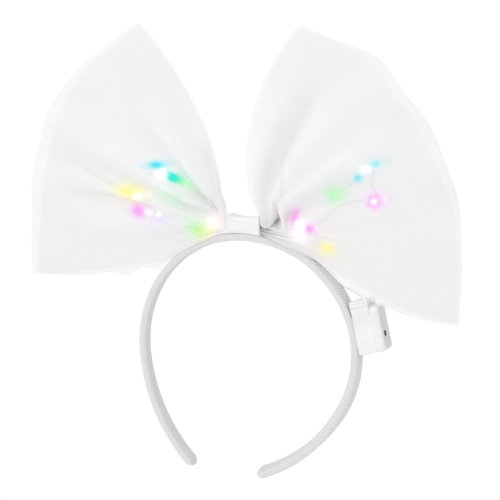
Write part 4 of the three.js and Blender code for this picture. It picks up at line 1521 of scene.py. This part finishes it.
# White with a half gloss, and painted shade on the flat outer face.
abs_white = new_material(
    "moulded_white_abs", {"Specular IOR Level": 0.5, "Coat Weight": 0.1, "Coat Roughness": 0.2}
)
eroded = grain(abs_white, ABS_GRAIN, 4.0)
abs_ends = ("#e3e3e2", "#ebeae9")
abs_colour = lead_finish(abs_white, eroded, abs_ends, (0.3, 0.38), depth=0.03, strength=0.3)
abs_place = add_node(abs_white, "TexCoord", output="Object")
outward = {0: abs_place, 1: tuple(box_out / MM)}
box_height = add_node(abs_white, "VectorMath", outward, "Value", operation="DOT_PRODUCT")
face_height = float(box_origin @ box_out) + COVER_FACE
face_range = {"From Min": face_height - FACE_SOFT, "From Max": face_height - FACE_SKIN}
# Painted shade: the cover's flat outer face turns greyer.
shaded_face = add_node(abs_white, "MapRange", {"Value": box_height, **face_range})
face_shade_ends = {"Factor": shaded_face, "A": abs_colour, "B": linear("#cfcfce")}
feed(abs_white, {"Base Color": add_node(abs_white, "Mix", face_shade_ends, "Result", data_type="RGBA")})
# Almost black, duller than the box.
black = new_material("moulded_black_nylon", {"Specular IOR Level": 0.4})
moulded = grain(black, NYLON_GRAIN, 2.0)
lead_finish(black, moulded, ("#0c0c0c", "#1c1c1c"), (0.4, 0.55), depth=0.02, strength=0.4)
print("face of the cover at", round(face_height, 1), "mm")

# %% Two halves
CASE_BACK = -0.8
CASE_THICKNESS = 9.96
CASE_RISE = 4.4
CASE_ROUND = 1.2
CASE_LINES = table("below deep", (1.6, 0.3), (3.8, 0.25), (7.6, 0.15))
CASE_CORNERS = (0.05, 0.05, 0.4, 0.4)
CASE_FOLLOWS = 0.0025
COVER_START = 10.0
COVER_ROUND = 2.2
COVER_CORNERS = (2.6, 2.6, 0.05, 0.05)
box_low, box_high = -BOX_LENGTH / 2, BOX_LENGTH / 2
case_rows = rounded_rows(box_low, box_high + CASE_RISE, CASE_ROUND, CASE_LINES)
case_mesh = shell_mesh(
    "battery_case_shell", CASE_BACK, CASE_THICKNESS, CASE_CORNERS, case_rows, CASE_FOLLOWS
)
add_piece("battery_case_shell", case_mesh, abs_white, ["battery_case"])
cover_rows = rounded_rows(box_low, box_high, COVER_ROUND)
cover_mesh = shell_mesh(
    "battery_cover_shell", COVER_START, COVER_FACE, COVER_CORNERS, cover_rows, follows=0
)
cover_shell = add_piece(
    "battery_cover_shell", cover_mesh, abs_white, ["battery_cover"]
)

# %% [markdown]
# ## Slot and switch
#
# The switch's knob slides in a slot through the cover. The slot could be painted on, but the
# meshes are kept too, so a small block is cut out of the shell. Its walls are black, a painted
# shade for the slot's shadowed inside. The knob itself is the imported solid, in black nylon.

# %% Slot
SLOT_MIDDLE = -2.5
SLOT_FORWARD = 3.2
SLOT_LENGTH = 5.2
SLOT_WIDTH = 2.8
SLOT_CORNER = 0.5
SLOT_CORNER_STEPS = 6
SLOT_DEPTH = 1.4
SLOT_OVER = 2.0
POINT = 0.001
slot_ring = rounded_rectangle(SLOT_WIDTH, SLOT_LENGTH, SLOT_CORNER, SLOT_CORNER_STEPS)
slot_ends = np.array([POINT, 1.0, 1.0, POINT])[:, None]
slot_out = np.array([-SLOT_DEPTH, -SLOT_DEPTH, SLOT_OVER, SLOT_OVER])[:, None] + COVER_FACE
slot_across = slot_ends * slot_ring[None, :, 0] - SLOT_FORWARD
slot_points = in_box(slot_across, SLOT_MIDDLE + slot_ends * slot_ring[None, :, 1], slot_out)
slot_flat = np.zeros((4, len(slot_ring) + 1, 2))
slot_mesh = grid_mesh("slot_tool", slot_points, slot_flat, closed=(False, True))
# Painted shade: the cut walls take the black nylon, for the slot's shadowed inside.
slot_mesh.materials.append(black)
slot_tool = put_in_scene("slot_tool", slot_mesh)
cut = cover_shell.modifiers.new("slot", "BOOLEAN")
cut.operation = "DIFFERENCE"
cut.solver = "EXACT"
cut.material_mode = "TRANSFER"
cut.object = slot_tool
cut_shell = cover_shell.evaluated_get(bpy.context.evaluated_depsgraph_get())
cut_mesh = bpy.data.meshes.new_from_object(cut_shell)
cover_shell.modifiers.clear()
cover_shell.data = cut_mesh
bpy.data.objects.remove(slot_tool)
knob_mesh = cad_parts["switch_slider"].data
knob_mesh.materials.clear()
knob_mesh.materials.append(black)
print("cover with its slot:", len(cut_mesh.polygons), "faces,", len(cut_mesh.materials), "materials")

# %% [markdown]
# ## The lead
#
# Soft white PVC over two fine wires. It leaves the top of the box, bends down to the band
# and runs along it under the tulle to the knot. A free cord would have to hang, but this one
# is held all the way, so it can be a plain tube along a smooth path.

# %% Lead
LEAD_RADIUS = 0.75
LEAD_SIDES = 16
LEAD_SPAN_STEPS = 10
# Real PVC is finer; its grain is as coarse as it needs to be to show.
PVC_GRAIN = 3.3
LEAD_ROUTE = table(
    "along over deep",
    (80.6, 9.4, 4.0), (78, 9.2, 3.8), (74, 6.6, 3.2), (68, 3.8, 1.9), (60, 3.2, 0.4),
    (50, 3.2, -0.9), (40, 3.2, -2.5), (30, 3.2, -3.6), (22, 3.3, -3.3), (16, 4.2, -2.0),
    (13, 5.6, -1.2),
)
route_place, route_out, _ = walk(RIGHT_ARM, 1, column(LEAD_ROUTE, "along"))
lead_points = route_place + column(LEAD_ROUTE, "over")[:, None] * route_out
lead_points[:, 1] = column(LEAD_ROUTE, "deep")
lead_path = curve_through(lead_points, LEAD_SPAN_STEPS)
lead_mesh = cord_mesh("lead_jacket", lead_path, LEAD_RADIUS, LEAD_SIDES)
# White and soft, with a dull gloss.
pvc = new_material("white_pvc_jacket", {"Specular IOR Level": 0.5})
drawn_over = grain(pvc, PVC_GRAIN, 3.0)
lead_finish(pvc, drawn_over, ("#e9e9e8", "#f6f6f5"), (0.4, 0.5), depth=0.03, strength=0.3)
add_piece("lead_jacket", lead_mesh, pvc, ["lead_wire"])
print("lead", round(distance_along(lead_path)[-1]), "mm long")
